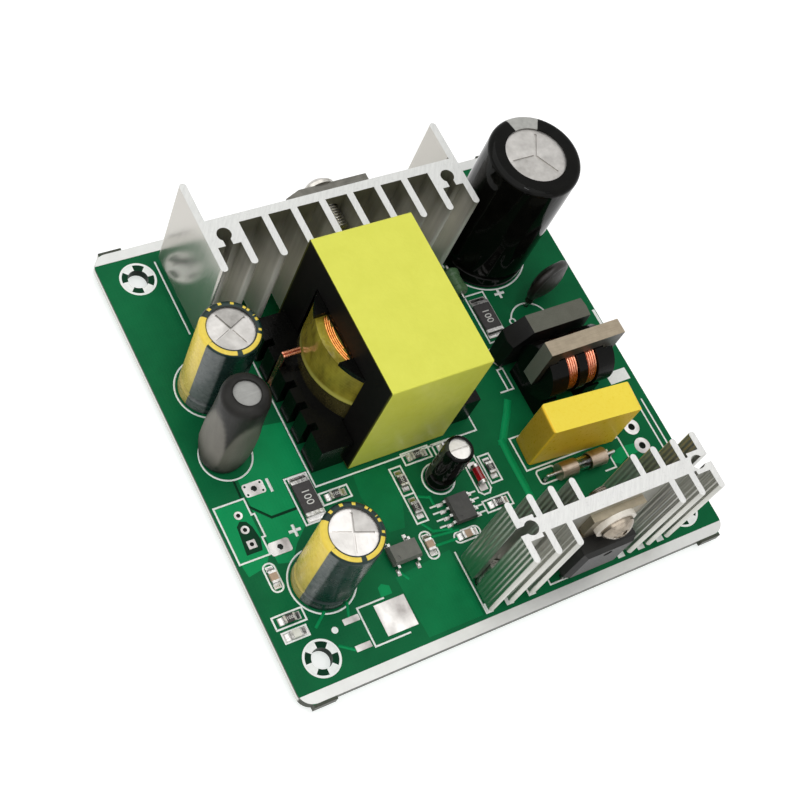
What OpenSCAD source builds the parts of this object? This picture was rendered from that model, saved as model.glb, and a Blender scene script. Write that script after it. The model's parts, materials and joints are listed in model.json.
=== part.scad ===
// Power supply module: a mains converter on one bare board, with two finned heatsinks.
// Millimetres. The origin is the middle of the four mounting holes, on the board's underside.
// Places on the board are measured from its front left corner, heights from its top face.

/* [Board] */
// Length of the board along X
board_x = 82.5; // [80:0.5:100]
// Depth of the board along Y
board_y = 82; // [81:0.5:100]
// Thickness of the laminate
board_t = 1.6; // [1:0.1:2.4]
// Radius of the board's corners
board_corner_r = 2.5; // [1:0.1:4]
// Distance of each mounting hole from the two edges next to it
mount_inset = 6; // [5:0.1:7]
// Bore of the mounting holes
mount_hole_d = 3.4; // [2.8:0.1:4]
// Width of the bare tinned strip along the front and back edges
edge_strip = 1.8; // [0.8:0.1:2.2]
// Length of the stubs that the panel left at the ends of the front and back edges
stub_length = 4; // [2:0.5:8]
// Distance of each stub from the board's corner
stub_inset = 1.6; // [1:0.1:5]
// How far the stubs stand out
stub_out = 0.5; // [0.2:0.1:1]
// Height of tinned pads above the board
pad_t = 0.1; // [0.05:0.05:0.2]

/* [Leads and solder] */
// Length of lead below the board
tail = 1.5; // [1:0.1:3]
// Gap round a lead in its hole
lead_gap = 0.15; // [0.1:0.05:0.3]
// Height of a solder cone below the board
solder_h = 0.9; // [0.5:0.1:1.2]
// How far a solder cone spreads past its lead
solder_spread = 0.6; // [0.4:0.1:0.9]
// Diameter of thin leads
thin_lead_d = 0.6; // [0.4:0.05:0.7]
// Diameter of power leads
power_lead_d = 0.9; // [0.7:0.05:1.1]
// Gap between a body and the board below it
stand_off = 0.2; // [0.1:0.05:0.5]
// Loose fit between two pieces that slide together
fit = 0.15; // [0.1:0.05:0.3]

/* [Transformer] */
// Middle of the transformer along X
xfmr_x = 33.1; // [32:0.1:34]
// Front face of the transformer
xfmr_front = 32.8; // [32.7:0.1:35]
// Width of the core
core_w = 18.2; // [17:0.1:20]
// Depth of the core
core_d = 27.8; // [27:0.1:30]
// Height of the core
core_h = 25; // [23:0.1:28]
// Thickness of the tape round the core
tape_t = 0.3; // [0.2:0.05:0.5]
// Radius of the core's round middle post
post_r = 6; // [5:0.1:6.5]
// Wall of the bobbin's tube
bobbin_wall = 0.9; // [0.6:0.1:1.2]
// Outer radius of the winding
winding_r = 12; // [10:0.1:12.3]
// Height of the winding
winding_h = 12; // [10:0.1:13]
// Thickness of the bobbin's flanges
flange_t = 1; // [0.8:0.1:1.4]
// How far the flanges stand out past the winding
flange_lip = 0.3; // [0.2:0.1:0.5]
// Distance from the middle to the outer face of a pin rail
rail_reach = 15; // [14:0.1:16]
// Length of a pin rail
rail_length = 25.4; // [24.6:0.1:27]
// Pins along each rail
rail_pins = 6; // [4:1:6]
// Spacing of the pins along a rail
rail_pitch = 4; // [3.5:0.1:4.2]
// Width of the wire slots in a rail
rail_slot = 1.3; // [0.8:0.1:1.6]
// Width of the openings in the upper flange that show the winding
flange_window = 8.6; // [6:0.1:10]

/* [Rear heatsink] */
// Left face of the rear heatsink
rear_x = 10.1; // [9.5:0.1:11]
// Gap between the transformer and the fins behind it
rear_gap = 0.4; // [0.2:0.1:1]
// Spacing of the fins
rear_pitch = 5.12; // [4.8:0.02:5.3]
// Thickness of the fins
rear_fin_t = 1.2; // [0.9:0.05:1.5]
// Length of the fins in front of the web
rear_fin_length = 7.7; // [7:0.1:9]
// Thickness of the web
rear_web_t = 1.6; // [1.2:0.1:2]
// How far the end plates reach back past the web
rear_end_length = 7.4; // [6.6:0.1:8]
// Depth of the blocks that hold the pins
rear_boss = 3.5; // [3.2:0.1:4.2]
// Distance of the keyholes in front of the web
rear_key_in = 1.45; // [1.3:0.05:1.7]

/* [Front heatsink] */
// Left face of the front heatsink
front_x = 33.7; // [33.2:0.1:35]
// Front tips of the fins
front_y = 2.2; // [2:0.1:3]
// Spacing of the fins
front_pitch = 3.97; // [3.7:0.01:4.1]
// Thickness of the fins
front_fin_t = 1.1; // [0.9:0.05:1.4]
// Length of the fins in front of the web
front_fin_length = 4; // [3.6:0.1:5]
// Thickness of the web
front_web_t = 2.5; // [2:0.1:3]
// Length of the fins behind the web
front_back_length = 3.7; // [3:0.1:5]
// Thickness of the ends that hold the pins
front_boss = 3.8; // [3.5:0.1:4.5]

/* [Both heatsinks] */
// Height of the extrusions
sink_h = 20; // [19:0.1:24]
// Height of the extrusions above the board
sink_lift = 2; // [1.5:0.1:3]
// Bore of the round end of a keyhole
keyhole_d = 2.4; // [2:0.1:2.8]
// Width of the open neck of a keyhole
keyhole_neck = 1.3; // [0.8:0.1:1.8]
// Height of the solder pins above the board
sink_pin_h = 7; // [5:0.5:12]

/* [Power devices] */
// Width of the rear device's metal tab
rear_tab_w = 14.2; // [13:0.1:14.6]
// Distance of the rear device's middle from its screw
rear_tab_shift = 0.9; // [0:0.1:1.2]
// Distance of the rear screw from the heatsink's middle
rear_screw_shift = -0.25; // [-0.25:0.05:0.25]
// Thickness of the rear device's metal tab
rear_tab_t = 2; // [1.6:0.1:2.2]
// Height of the top of the rear tab
rear_tab_top = 20.7; // [20.4:0.1:24]
// Width of the rear device's moulding
rear_body_w = 15.2; // [14:0.1:16]
// Thickness of the rear device's moulding
rear_body_t = 2.8; // [2.4:0.1:3]
// Height of the top of the rear moulding
rear_body_top = 14.2; // [13:0.1:14.8]
// Height of the rear screw
rear_screw_z = 18.4; // [18.2:0.1:19]
// Spacing of the rear device's leads
rear_lead_pitch = 5.45; // [5:0.05:5.6]
// Width of the front device
front_tab_w = 10.2; // [9.8:0.1:10.6]
// Thickness of the front device's metal tab
front_tab_t = 1.3; // [1.1:0.1:1.5]
// Height of the top of the front tab
front_tab_top = 20.4; // [20.2:0.1:21.5]
// Thickness of the front device's moulding
front_body_t = 3.2; // [2.8:0.1:3.4]
// Height of the top of the front moulding
front_body_top = 13.4; // [12.5:0.1:13.8]
// Height of the front screw
front_screw_z = 17.5; // [17.4:0.1:17.7]
// Spacing of the front device's leads
front_lead_pitch = 2.54; // [2.3:0.02:2.7]
// Height of both mouldings above the board
device_lift = 4.2; // [3:0.1:5]
// Outer diameter of the insulating bush
bush_d = 7; // [6:0.1:7.4]
// Thickness of the bush's flange
bush_t = 0.9; // [0.7:0.1:1.4]
// Wall of the bush's sleeve
bush_wall = 0.3; // [0.2:0.05:0.4]
// Diameter of the screws
screw_d = 3; // [2.6:0.1:3.2]
// Diameter of the screw heads
screw_head_d = 5.6; // [5.2:0.1:6]
// Height of the screw heads
screw_head_h = 2; // [1.7:0.1:2.3]
// Length of the rear screw below its head
rear_screw_length = 7.6; // [5:0.1:9]
// Length of the front screw below its head
front_screw_length = 6.2; // [5.8:0.1:9]

/* [Capacitors and inductor] */
// Gap between the rear heatsink and the bulk capacitor
bulk_gap = 1.65; // [1.2:0.05:3]
// How far the bulk capacitor's middle stands in front of the rear heatsink's web
bulk_ahead = 5.4; // [3.3:0.1:6]
// Diameter of the bulk capacitor
bulk_d = 16.3; // [14:0.1:16.6]
// Height of the bulk capacitor
bulk_h = 28.5; // [24:0.1:32]
// Spacing of the bulk capacitor's leads
bulk_pitch = 7.5; // [6:0.1:8]
// Place of each output capacitor, and the turn of its vent
output_at = [[8.7, 53.8, 24], [11.6, 17.3, -20]];
// Diameter of the output capacitors
output_d = 10; // [9:0.1:10.6]
// Height of the output capacitors
output_h = 18.9; // [16:0.1:22]
// Spacing of the output capacitors' leads
output_pitch = 5; // [4:0.1:5.5]
// Place of the small capacitor
small_at = [37.9, 26.2];
// Diameter of the small capacitor
small_d = 4.9; // [4.5:0.1:5.4]
// Height of the small capacitor
small_h = 11.2; // [9:0.1:13]
// Spacing of the small capacitor's leads
small_pitch = 2; // [1.8:0.1:2.5]
// Thickness of a can's printed sleeve
sleeve_t = 0.2; // [0.1:0.05:0.3]
// Share of the bulk capacitor's width that its sleeve leaves bare on top
bulk_open_share = 0.66; // [0.55:0.01:0.75]
// Share of the other capacitors' width that their sleeves leave bare on top
can_open_share = 0.76; // [0.6:0.01:0.78]
// Share of a can's radius that rounds its top edge
can_edge_share = 0.08; // [0.06:0.01:0.14]
// Turn of the bulk capacitor's vent
bulk_vent = 60; // [0:5:120]
// Depth of the crimped groove in a can
groove_depth = 0.35; // [0.2:0.05:0.5]
// Depth of the vent scored in a can's top
score_depth = 0.2; // [0.1:0.05:0.3]
// Place of the sleeved inductor
coil_at = [5.7, 42.3];
// Diameter of the sleeved inductor
coil_d = 8; // [7.5:0.1:8.6]
// Height of the sleeved inductor
coil_h = 20.6; // [16:0.1:23]
// Thickness of the inductor's shrunk sleeve
coil_sleeve_t = 0.5; // [0.3:0.05:0.7]
// Rounding of the sleeve's mouth over the inductor's end
coil_round = 1.6; // [1.2:0.1:2]
// Spacing of the inductor's leads
coil_pitch = 3.5; // [3:0.1:4]

/* [Mains filter] */
// Place of the film capacitor
film_at = [63, 24.9];
// Turn of the film capacitor from straight
film_turn = -4; // [-5:0.5:0]
// Length, thickness and height of the film capacitor
film_size = [17.6, 5.4, 12];
// Spacing of the film capacitor's leads
film_pitch = 15; // [13:0.5:15.5]
// Rounding of the film capacitor's edges
film_edge = 0.6; // [0.3:0.1:1]
// Place of the common mode choke
cmc_at = [66, 35.4];
// Length of the choke's core loop
loop_length = 15.1; // [14:0.1:16]
// Height of the choke's core loop
loop_h = 9.7; // [9.4:0.1:11]
// Width of the loop's four limbs
limb = 2.7; // [2.4:0.1:2.8]
// Height of the lower limb above the board
loop_lift = 6.4; // [6:0.1:7]
// Radius of the choke's bobbin flanges
cmc_flange_r = 4.9; // [4.5:0.1:5.2]
// Depth of the windings below the flanges' rims
cmc_sink = 0.4; // [0.2:0.1:0.8]
// Thickness of the flange between the choke's two windings
cmc_flange_t = 1.7; // [1.2:0.1:1.9]
// Thickness of the cheeks at the ends of the choke's bobbin
cmc_cheek_t = 1.6; // [1.3:0.1:1.8]
// How far the cheeks reach out beside the loop's upright limbs
cmc_cheek_out = 1.8; // [1:0.1:2.2]
// Diameter of the choke's wire
cmc_wire_d = 0.42; // [0.35:0.01:0.5]
// Reach of the choke's feet past its bobbin
foot_out = 1.3; // [0.8:0.1:1.6]
// How far the choke's feet stop inside the flanges' rims
foot_inset = 0.5; // [0.3:0.1:1]
// Distance of a choke pin from the end of its foot
foot_pin_inset = 0.9; // [0.7:0.1:1.5]
// Height of the choke's feet
foot_h = 4.4; // [3.5:0.1:5]
// Gap between the choke and the rectifier behind it
bridge_gap = 0.2; // [0.1:0.1:1]
// Middle of the rectifier along X
bridge_x = 65.2; // [64.6:0.1:66]
// Length, thickness and height of the rectifier
bridge_size = [15.4, 4, 10];
// Height of the rectifier above the board
bridge_lift = 1.4; // [1:0.1:3]
// Cut corner of the rectifier
bridge_cut = 3.4; // [2:0.1:4]
// Draft of the rectifier's faces on each side of its parting line
bridge_draft = 0.25; // [0.1:0.05:0.4]
// Spacing of the rectifier's leads
bridge_pitch = 3.8; // [3.4:0.1:4]
// Place of the disc thermistor
ntc_at = [72.3, 51.5];
// Turn of the thermistor from straight
ntc_turn = 16; // [0:1:25]
// Diameter of the thermistor
ntc_d = 9.2; // [8:0.1:10]
// Thickness of the thermistor
ntc_t = 3.5; // [2.8:0.1:4]
// Thickness of the thermistor's rim, between its domed faces
ntc_rim = 1.5; // [0.8:0.1:1.8]
// Height of the coating's lower end above the board
ntc_coat = 1.6; // [1:0.1:2]
// Spacing of the thermistor's leads
ntc_pitch = 5; // [4:0.1:5.5]
// Place of the fuse
fuse_at = [62.4, 19.5];
// Length of the fuse over its caps
fuse_length = 9.4; // [8.6:0.1:10]
// Diameter of the fuse's glass tube
fuse_glass_d = 2.4; // [2.2:0.1:3]
// Wall of the fuse's glass tube
fuse_wall = 0.35; // [0.25:0.05:0.5]
// Wall of the fuse's caps
fuse_cap_t = 0.3; // [0.2:0.05:0.4]
// Length of the fuse's caps
fuse_cap_length = 3.3; // [2.4:0.1:3.5]
// Length of lead outside each end of the fuse
fuse_out = 2.2; // [1.5:0.1:2.8]

/* [Small parts] */
// Middle of the axial resistor along X
axial_x = 57.9; // [57.4:0.1:58.2]
// Gap between the axial resistor and the tips of the rear fins
axial_gap = 1.15; // [0.8:0.05:2]
// Length of the axial resistor
axial_length = 4.9; // [4.4:0.1:5.2]
// Diameter of the axial resistor's end caps
axial_d = 3; // [2.6:0.1:3.2]
// Height of the axial resistor's middle above the board
axial_z = 2.3; // [2:0.1:2.8]
// Length of lead outside each end of the axial resistor
axial_out = 0.8; // [0.6:0.1:1]
// Place of the control chip
chip_at = [38.5, 19.95];
// Width, length and height of the control chip's moulding
chip_size = [3.9, 4.9, 1.5];
// Leads along each side of the control chip
chip_pins = 4; // [2:1:4]
// Spacing of the control chip's leads
chip_pitch = 1.27; // [1:0.01:1.3]
// Place of the coupler
coupler_at = [25.6, 16.4];
// Length, width and height of the coupler's moulding
coupler_size = [5.2, 3.3, 2];
// Spacing of the coupler's leads
coupler_pitch = 3.7; // [2.5:0.1:4.2]
// Reach of a gull-wing lead from its moulding
wing_out = 1.1; // [0.8:0.1:1.3]
// Thickness of a gull-wing lead
wing_t = 0.2; // [0.15:0.01:0.3]
// Width of a gull-wing lead
wing_w = 0.45; // [0.3:0.05:0.6]
// Gap between a moulding and its pads
mould_gap = 0.15; // [0.1:0.05:0.3]
// Place of the glass diode
diode_at = [44.5, 24.2];
// Length of the glass diode
diode_length = 3.5; // [3:0.1:4]
// Diameter of the glass diode
diode_d = 1.5; // [1.2:0.1:1.7]
// Length of the diode's end caps
diode_cap = 0.55; // [0.4:0.05:0.7]
// Length, width and height of a small chip part
small_chip = [2, 1.25, 0.55];
// Length, width and height of a large chip resistor
large_chip = [6.3, 3.2, 0.6];
// Length of a small chip's end terminals
small_term = 0.4; // [0.3:0.05:0.5]
// Length of a large chip's end terminals
large_term = 0.6; // [0.4:0.05:0.8]
// How far a pad reaches past its terminal
pad_out = 0.9; // [0.5:0.1:1]
// Place and turn of each small chip resistor
resistor_at = [
    [36.3, 31.2, 0], [42.2, 31, 0], [31.7, 27.9, 90], [31.7, 22.8, 90],
    [20.1, 29.5, 0], [47.4, 24.8, 90], [45.6, 18.8, 0], [4, 13.5, 0]
];
// Place and turn of each large chip resistor
large_at = [[61.4, 50.8, 90], [15.4, 30.6, 90]];
// Place and turn of each chip capacitor
chip_cap_at = [[30.8, 16.3, 90], [4.6, 20.4, 90], [37.8, 15.7, 0]];
// Place and turn of the status light
led_at = [3.9, 10.9, 0];
// Height of the status light's lens above its base
led_lens = 0.35; // [0.2:0.05:0.6]

/* [Bare pads] */
// Place of each output pad
output_pad_at = [[8.1, 35], [7.8, 24.6]];
// Length and width of an output pad
output_pad = [3.6, 2.3];
// Bore of an output pad's hole
output_pad_hole = 1; // [0.8:0.1:1.4]
// Middle of the row of signal holes
signal_at = [3.8, 29.1];
// Spacing of the signal holes
signal_pitch = 2.54; // [2.4:0.02:2.8]
// Diameter of a signal hole's pad
signal_pad_d = 1.4; // [1.2:0.1:2.2]
// Bore of a signal hole
signal_hole = 0.7; // [0.5:0.1:0.9]
// Place of each mains pad
mains_pad_at = [[76.3, 22.9], [76.3, 19.1]];
// Diameter of a mains pad
mains_pad_d = 3; // [2.4:0.1:3.4]
// Bore of a mains pad's hole
mains_hole = 1.3; // [1:0.1:1.8]
// Place and size of the bare pads of the part that isn't fitted
spare_pads = [[20.05, 7.85, 5.5, 5.3], [13, 9.8, 2.8, 1], [12.9, 5.25, 2.7, 1]];

/* [Hidden] */
$fn = 48;
// Overlap of two solids that are joined
e = 0.01;
// How far a cut reaches past the solid that it goes through
past = 1;

function row_x(at, n, pitch) = [for (i = [0 : n - 1]) [at[0] + (i - (n - 1) / 2) * pitch, at[1]]];
function row_y(at, n, pitch) = [for (i = [0 : n - 1]) [at[0], at[1] + (i - (n - 1) / 2) * pitch]];
function turned(at, dx, a) = [at[0] + dx * cos(a), at[1] + dx * sin(a)];

// Transformer heights and depths
xfmr_d = core_d + 2 * tape_t;
xfmr_y = xfmr_front + xfmr_d / 2;
core_z = stand_off + tape_t;
flange_r = winding_r + flange_lip;
window_r = flange_r + fit;
window_h = winding_h + 2 * flange_t + 2 * fit;
window_z = core_z + (core_h - window_h) / 2;
winding_z = window_z + fit + flange_t;
rail_inner = core_w / 2 + fit;
rail_w = rail_reach - rail_inner;
strand_d = (rail_slot - fit) / 2;

// Rear heatsink
rear_fins = 10;
rear_w = (rear_fins - 1) * rear_pitch + rear_fin_t;
rear_web_y = xfmr_front + xfmr_d + rear_gap + rear_fin_length;
rear_back_y = rear_web_y + rear_web_t;
rear_screw_x = rear_x + rear_w / 2 + rear_screw_shift;
rear_device_x = rear_screw_x + rear_tab_shift;
rear_key_x = [for (i = [0.5, rear_fins - 1.5]) i * rear_pitch + rear_fin_t / 2];

// Front heatsink
front_fins = 10;
front_w = (front_fins - 1) * front_pitch + front_fin_t;
front_web_y = front_y + front_fin_length;
front_screw_x = front_x + front_w / 2;
front_key_x = [front_fin_t + keyhole_d / 2, front_w - front_fin_t - keyhole_d / 2];

// Bulk capacitor, axial resistor and rectifier take their places from what stands next to them
bulk_at = [rear_x + rear_w + bulk_gap + bulk_d / 2, rear_web_y - bulk_ahead];
axial_at = [axial_x, rear_web_y - rear_fin_length - axial_gap - axial_length / 2];
bridge_at = [bridge_x, cmc_at[1] + cmc_flange_r + bridge_gap + bridge_size[1] / 2];
cmc_limb_z = loop_lift + limb / 2;
cmc_inside = loop_length - 2 * limb - 2 * fit;
fuse_z = stand_off + fuse_glass_d / 2 + fuse_cap_t;
rear_lead_y = rear_back_y + rear_tab_t + rear_body_t / 2;
front_lead_y = front_web_y - front_tab_t - front_body_t / 2;

// Every lead that goes through the board, group by group, with its diameter
rear_pins_at = [for (x = rear_key_x) [rear_x + x, rear_web_y - rear_key_in]];
front_pins_at = [for (x = front_key_x) [front_x + x, front_web_y + front_web_t / 2]];
rear_leads_at = row_x([rear_device_x, rear_lead_y], 3, rear_lead_pitch);
front_leads_at = row_x([front_screw_x, front_lead_y], 3, front_lead_pitch);
xfmr_pins_at = [
    for (s = [-1, 1]) each row_y([xfmr_x + s * (rail_reach - rail_w / 3), xfmr_y], rail_pins, rail_pitch)
];
bulk_leads_at = row_x(bulk_at, 2, bulk_pitch);
output_leads_at = [for (at = output_at) each row_x(at, 2, output_pitch)];
small_leads_at = row_x(small_at, 2, small_pitch);
coil_leads_at = row_y(coil_at, 2, coil_pitch);
film_leads_at = [for (s = [-1, 1]) turned(film_at, s * film_pitch / 2, film_turn)];
cmc_pin_x = cmc_inside / 2 + foot_out / 2;
cmc_foot_half = cmc_flange_r - foot_inset;
cmc_pin_y = cmc_foot_half - foot_pin_inset;
cmc_pins_at = [for (sx = [-1, 1], sy = [-1, 1]) [cmc_at[0] + sx * cmc_pin_x, cmc_at[1] + sy * cmc_pin_y]];
bridge_leads_at = row_x(bridge_at, 4, bridge_pitch);
ntc_leads_at = [for (s = [-1, 1]) turned(ntc_at, s * ntc_pitch / 2, ntc_turn)];
axial_leads_at = row_y(axial_at, 2, axial_length + 2 * axial_out);
fuse_leads_at = row_x(fuse_at, 2, fuse_length + 2 * fuse_out);
sink_pin_d = keyhole_d - 2 * fit;
lead_sets = [
    [rear_pins_at, sink_pin_d], [front_pins_at, sink_pin_d],
    [rear_leads_at, power_lead_d], [front_leads_at, power_lead_d],
    [xfmr_pins_at, power_lead_d], [bulk_leads_at, power_lead_d], [bridge_leads_at, power_lead_d],
    [output_leads_at, thin_lead_d], [small_leads_at, thin_lead_d], [coil_leads_at, power_lead_d],
    [film_leads_at, thin_lead_d], [cmc_pins_at, thin_lead_d], [ntc_leads_at, thin_lead_d],
    [axial_leads_at, thin_lead_d], [fuse_leads_at, thin_lead_d]
];
signals_at = row_y(signal_at, 3, signal_pitch);
mounts_at = [
    for (x = [mount_inset, board_x - mount_inset], y = [mount_inset, board_y - mount_inset]) [x, y]
];

// Placing and drawing helpers

// Puts things at a place on the board's top face
module on_board(at, z = 0) {
    translate([at[0] - board_x / 2, at[1] - board_y / 2, board_t + z]) children();
}

// Extrudes an X-Z outline back along Y from y0
module upright(y0, t) {
    translate([0, y0 + t, 0]) rotate([90, 0, 0]) linear_extrude(t) children();
}

// Extrudes a Y-Z outline along X from x0
module across(x0, w) {
    translate([x0, 0, 0]) rotate([90, 0, 90]) linear_extrude(w) children();
}

module rounded_square(size, r) {
    square([size[0], size[1] - 2 * r], center = true);
    square([size[0] - 2 * r, size[1]], center = true);
    for (sx = [-1, 1], sy = [-1, 1])
        translate([sx * (size[0] / 2 - r), sy * (size[1] / 2 - r)]) circle(r);
}

// A lead from the given height down through the board, with its solder cone below
module lead(d, top) {
    bottom = -board_t - tail;
    translate([0, 0, bottom]) cylinder(d = d, h = top - bottom);
    translate([0, 0, -board_t - solder_h])
        cylinder(d1 = d + solder_spread / 2, d2 = d + 2 * solder_spread, h = solder_h);
}

module leads(places, d, top) {
    for (at = places) on_board(at) lead(d, top);
}

// Two leads that leave a lying part along X and bend down into the board
module bent_leads(inner, out, d, z) {
    for (s = [-1, 1]) {
        translate([s * (inner + out / 2), 0, z]) rotate([0, 90, 0])
            cylinder(d = d, h = out, center = true);
        translate([s * (inner + out), 0, z]) sphere(d = d);
        translate([s * (inner + out), 0, 0]) lead(d, z);
    }
}

// Round of a keyhole with its neck running out along -Y
module keyhole(neck_length) {
    circle(d = keyhole_d);
    translate([-keyhole_neck / 2, -neck_length]) square([keyhole_neck, neck_length]);
}

// A fin along +Y with a rounded tip
module fin(t, length) {
    translate([-t / 2, -e]) square([t, length - t / 2 + e]);
    translate([0, length - t / 2]) circle(d = t);
}

// Half section of a round body with a rounded top edge
module round_section(r, h, edge) {
    square([r, h - edge]);
    square([r - edge, h]);
    translate([r - edge, h - edge]) circle(edge);
}

// Half section of a can with a crimped groove, grown outwards for its sleeve
module can_section(d, h, grow) {
    r = d / 2;
    edge = r * can_edge_share;
    groove_r = groove_depth * 3;
    difference() {
        translate([0, -grow]) round_section(r + grow, h + 2 * grow, edge + grow);
        translate([r + groove_r - groove_depth, groove_r * 2.4]) circle(groove_r - grow);
    }
}

can_base = stand_off + sleeve_t + fit;
vent_share = 0.42;

// The bare can, with a vent of the given number of arms scored in its top
module can(d, h, open, arms, turn) {
    body = h - can_base - sleeve_t - fit;
    difference() {
        translate([0, 0, can_base]) rotate_extrude() can_section(d - 2 * (sleeve_t + fit), body, 0);
        for (i = [0 : arms - 1]) rotate(360 / arms * i + turn)
            translate([0, -score_depth, can_base + body - score_depth])
                cube([d * open * vent_share, 2 * score_depth, past]);
    }
}

// The printed sleeve round a can, lapped over its top edge and under its base
module can_sleeve(d, h, open) {
    body = h - can_base - sleeve_t - fit;
    inner = d - 2 * (sleeve_t + fit);
    translate([0, 0, can_base]) rotate_extrude() difference() {
        can_section(inner, body, fit + sleeve_t);
        can_section(inner, body, fit);
        translate([0, -past]) square([d * open / 2, h + 2 * past]);
    }
}

// Pan head screw: head above the origin plane, thread below it
module screw(length) {
    dome = screw_head_d * 0.62;
    difference() {
        intersection() {
            cylinder(d = screw_head_d, h = screw_head_h);
            translate([0, 0, screw_head_h - dome]) sphere(dome);
        }
        for (a = [0, 90]) rotate(a)
            translate([-screw_head_d * 0.28, -screw_d * 0.12, screw_head_h * 0.45])
                cube([screw_head_d * 0.56, screw_d * 0.24, screw_head_h]);
    }
    translate([0, 0, -length]) cylinder(d = screw_d, h = length + e);
}

// Gull-wing lead leaving a moulding at x = 0 towards +X
module wing(h) {
    rotate([90, 0, 0]) translate([0, 0, -wing_w / 2]) linear_extrude(wing_w)
        polygon([
            [0, h], [wing_out * 0.45, h], [wing_out * 0.62, wing_t], [wing_out, wing_t], [wing_out, 0],
            [wing_out * 0.45, 0], [wing_out * 0.28, h - wing_t], [0, h - wing_t]
        ]);
}

// Small moulding with drafted sides and a top bevel
module moulding(size) {
    side = size[2] * 0.12;
    intersection() {
        upright(-size[1] / 2, size[1]) draft_section(size[0], size[2], side);
        across(-size[0] / 2, size[0]) draft_section(size[1], size[2], side);
    }
}

module draft_section(w, h, side) {
    polygon([
        [-w / 2 + side, 0], [w / 2 - side, 0], [w / 2, h / 2], [w / 2 - side, h],
        [-w / 2 + side, h], [-w / 2, h / 2]
    ]);
}

// Middle of a chip part, between its two terminals
module chip_middle(size, term) {
    translate([0, 0, pad_t + size[2] / 2])
        cube([size[0] - 2 * term, size[1], size[2]], center = true);
}

module chip_ends(size, term) {
    for (s = [-1, 1])
        translate([s * (size[0] - term) / 2, 0, pad_t + size[2] / 2])
            cube([term, size[1], size[2]], center = true);
}

module chip_pads(size, term) {
    for (s = [-1, 1])
        translate([s * (size[0] / 2 + (pad_out - term) / 2), 0, pad_t / 2])
            cube([term + pad_out, size[1], pad_t], center = true);
}

module place_chips(list) {
    for (c = list) on_board(c) rotate(c[2]) children();
}

// Board and bare pads

module board_outline() {
    rounded_square([board_x, board_y], board_corner_r);
    for (sx = [-1, 1], sy = [-1, 1])
        translate([sx * ((board_x - stub_length) / 2 - stub_inset), sy * board_y / 2])
            square([stub_length, 2 * stub_out], center = true);
}

module pcb() {
    color("seagreen") difference() {
        linear_extrude(board_t) board_outline();
        for (at = mounts_at) drill(at, mount_hole_d);
        for (set = lead_sets) for (at = set[0]) drill(at, set[1] + 2 * lead_gap);
        for (at = output_pad_at) drill(at, output_pad_hole);
        for (at = signals_at) drill(at, signal_hole);
        for (at = mains_pad_at) drill(at, mains_hole);
    }
}

module drill(at, d) {
    on_board(at, -board_t - past) cylinder(d = d, h = board_t + 2 * past);
}

module solder_pads() {
    color("silver") {
        translate([0, 0, board_t]) linear_extrude(pad_t) intersection() {
            rounded_square([board_x, board_y], board_corner_r);
            for (s = [-1, 1]) translate([0, s * (board_y - edge_strip) / 2])
                square([board_x, edge_strip], center = true);
        }
        for (at = output_pad_at) on_board(at) linear_extrude(pad_t) difference() {
            rounded_square(output_pad, output_pad[1] / 5);
            circle(d = output_pad_hole);
        }
        for (i = [0 : 2]) on_board(signals_at[i]) ring_pad(signal_pad_d, signal_hole, i == 0);
        for (at = mains_pad_at) on_board(at) ring_pad(mains_pad_d, mains_hole);
        for (p = spare_pads) on_board(p) linear_extrude(pad_t) square([p[2], p[3]], center = true);
        place_chips(concat(resistor_at, chip_cap_at, [led_at])) chip_pads(small_chip, small_term);
        place_chips(large_at) chip_pads(large_chip, large_term);
        on_board(diode_at) rotate(90) chip_pads([diode_length, diode_d, 1], diode_cap);
        on_board(chip_at) wing_pads(chip_size[0] / 2, chip_pins, chip_pitch);
        on_board(coupler_at) rotate(90) wing_pads(coupler_size[1] / 2, 2, coupler_pitch);
    }
}

// Pad round a hole, square for the first of a row
module ring_pad(d, hole, first = false) {
    linear_extrude(pad_t) difference() {
        if (first) square(d, center = true);
        else circle(d = d);
        circle(d = hole);
    }
}

module wing_pads(half, n, pitch) {
    for (s = [-1, 1], at = row_y([s * (half + wing_out * 0.75), 0], n, pitch))
        translate([at[0], at[1], pad_t / 2]) cube([wing_out, wing_w * 1.4, pad_t], center = true);
}

module wing_leads(half, h, n, pitch) {
    for (a = [0, 180], at = row_y([half, 0], n, pitch)) rotate(a)
        translate([at[0], at[1], pad_t]) wing(h);
}

// Rear heatsink and its device

module rear_section() {
    difference() {
        union() {
            square([rear_w, rear_web_t]);
            for (i = [0 : rear_fins - 1]) translate([i * rear_pitch + rear_fin_t / 2, 0])
                mirror([0, 1]) fin(rear_fin_t, rear_fin_length);
            for (x = [0, rear_w - rear_fin_t]) translate([x + rear_fin_t / 2, rear_web_t])
                fin(rear_fin_t, rear_end_length);
            for (x = rear_key_x) translate([x - rear_pitch / 2, -rear_boss])
                square([rear_pitch, rear_boss + e]);
        }
        for (x = rear_key_x) translate([x, -rear_key_in]) keyhole(rear_boss);
    }
}

module rear_heatsink() {
    color("gainsboro") difference() {
        on_board([rear_x, rear_web_y], sink_lift) linear_extrude(sink_h) rear_section();
        on_board([rear_screw_x, rear_web_y - past], rear_screw_z) rotate([-90, 0, 0])
            cylinder(d = screw_d + 2 * fit, h = rear_web_t + 2 * past);
    }
}

module rear_heatsink_pins() {
    color("silver") leads(rear_pins_at, sink_pin_d, sink_pin_h);
}

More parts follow.
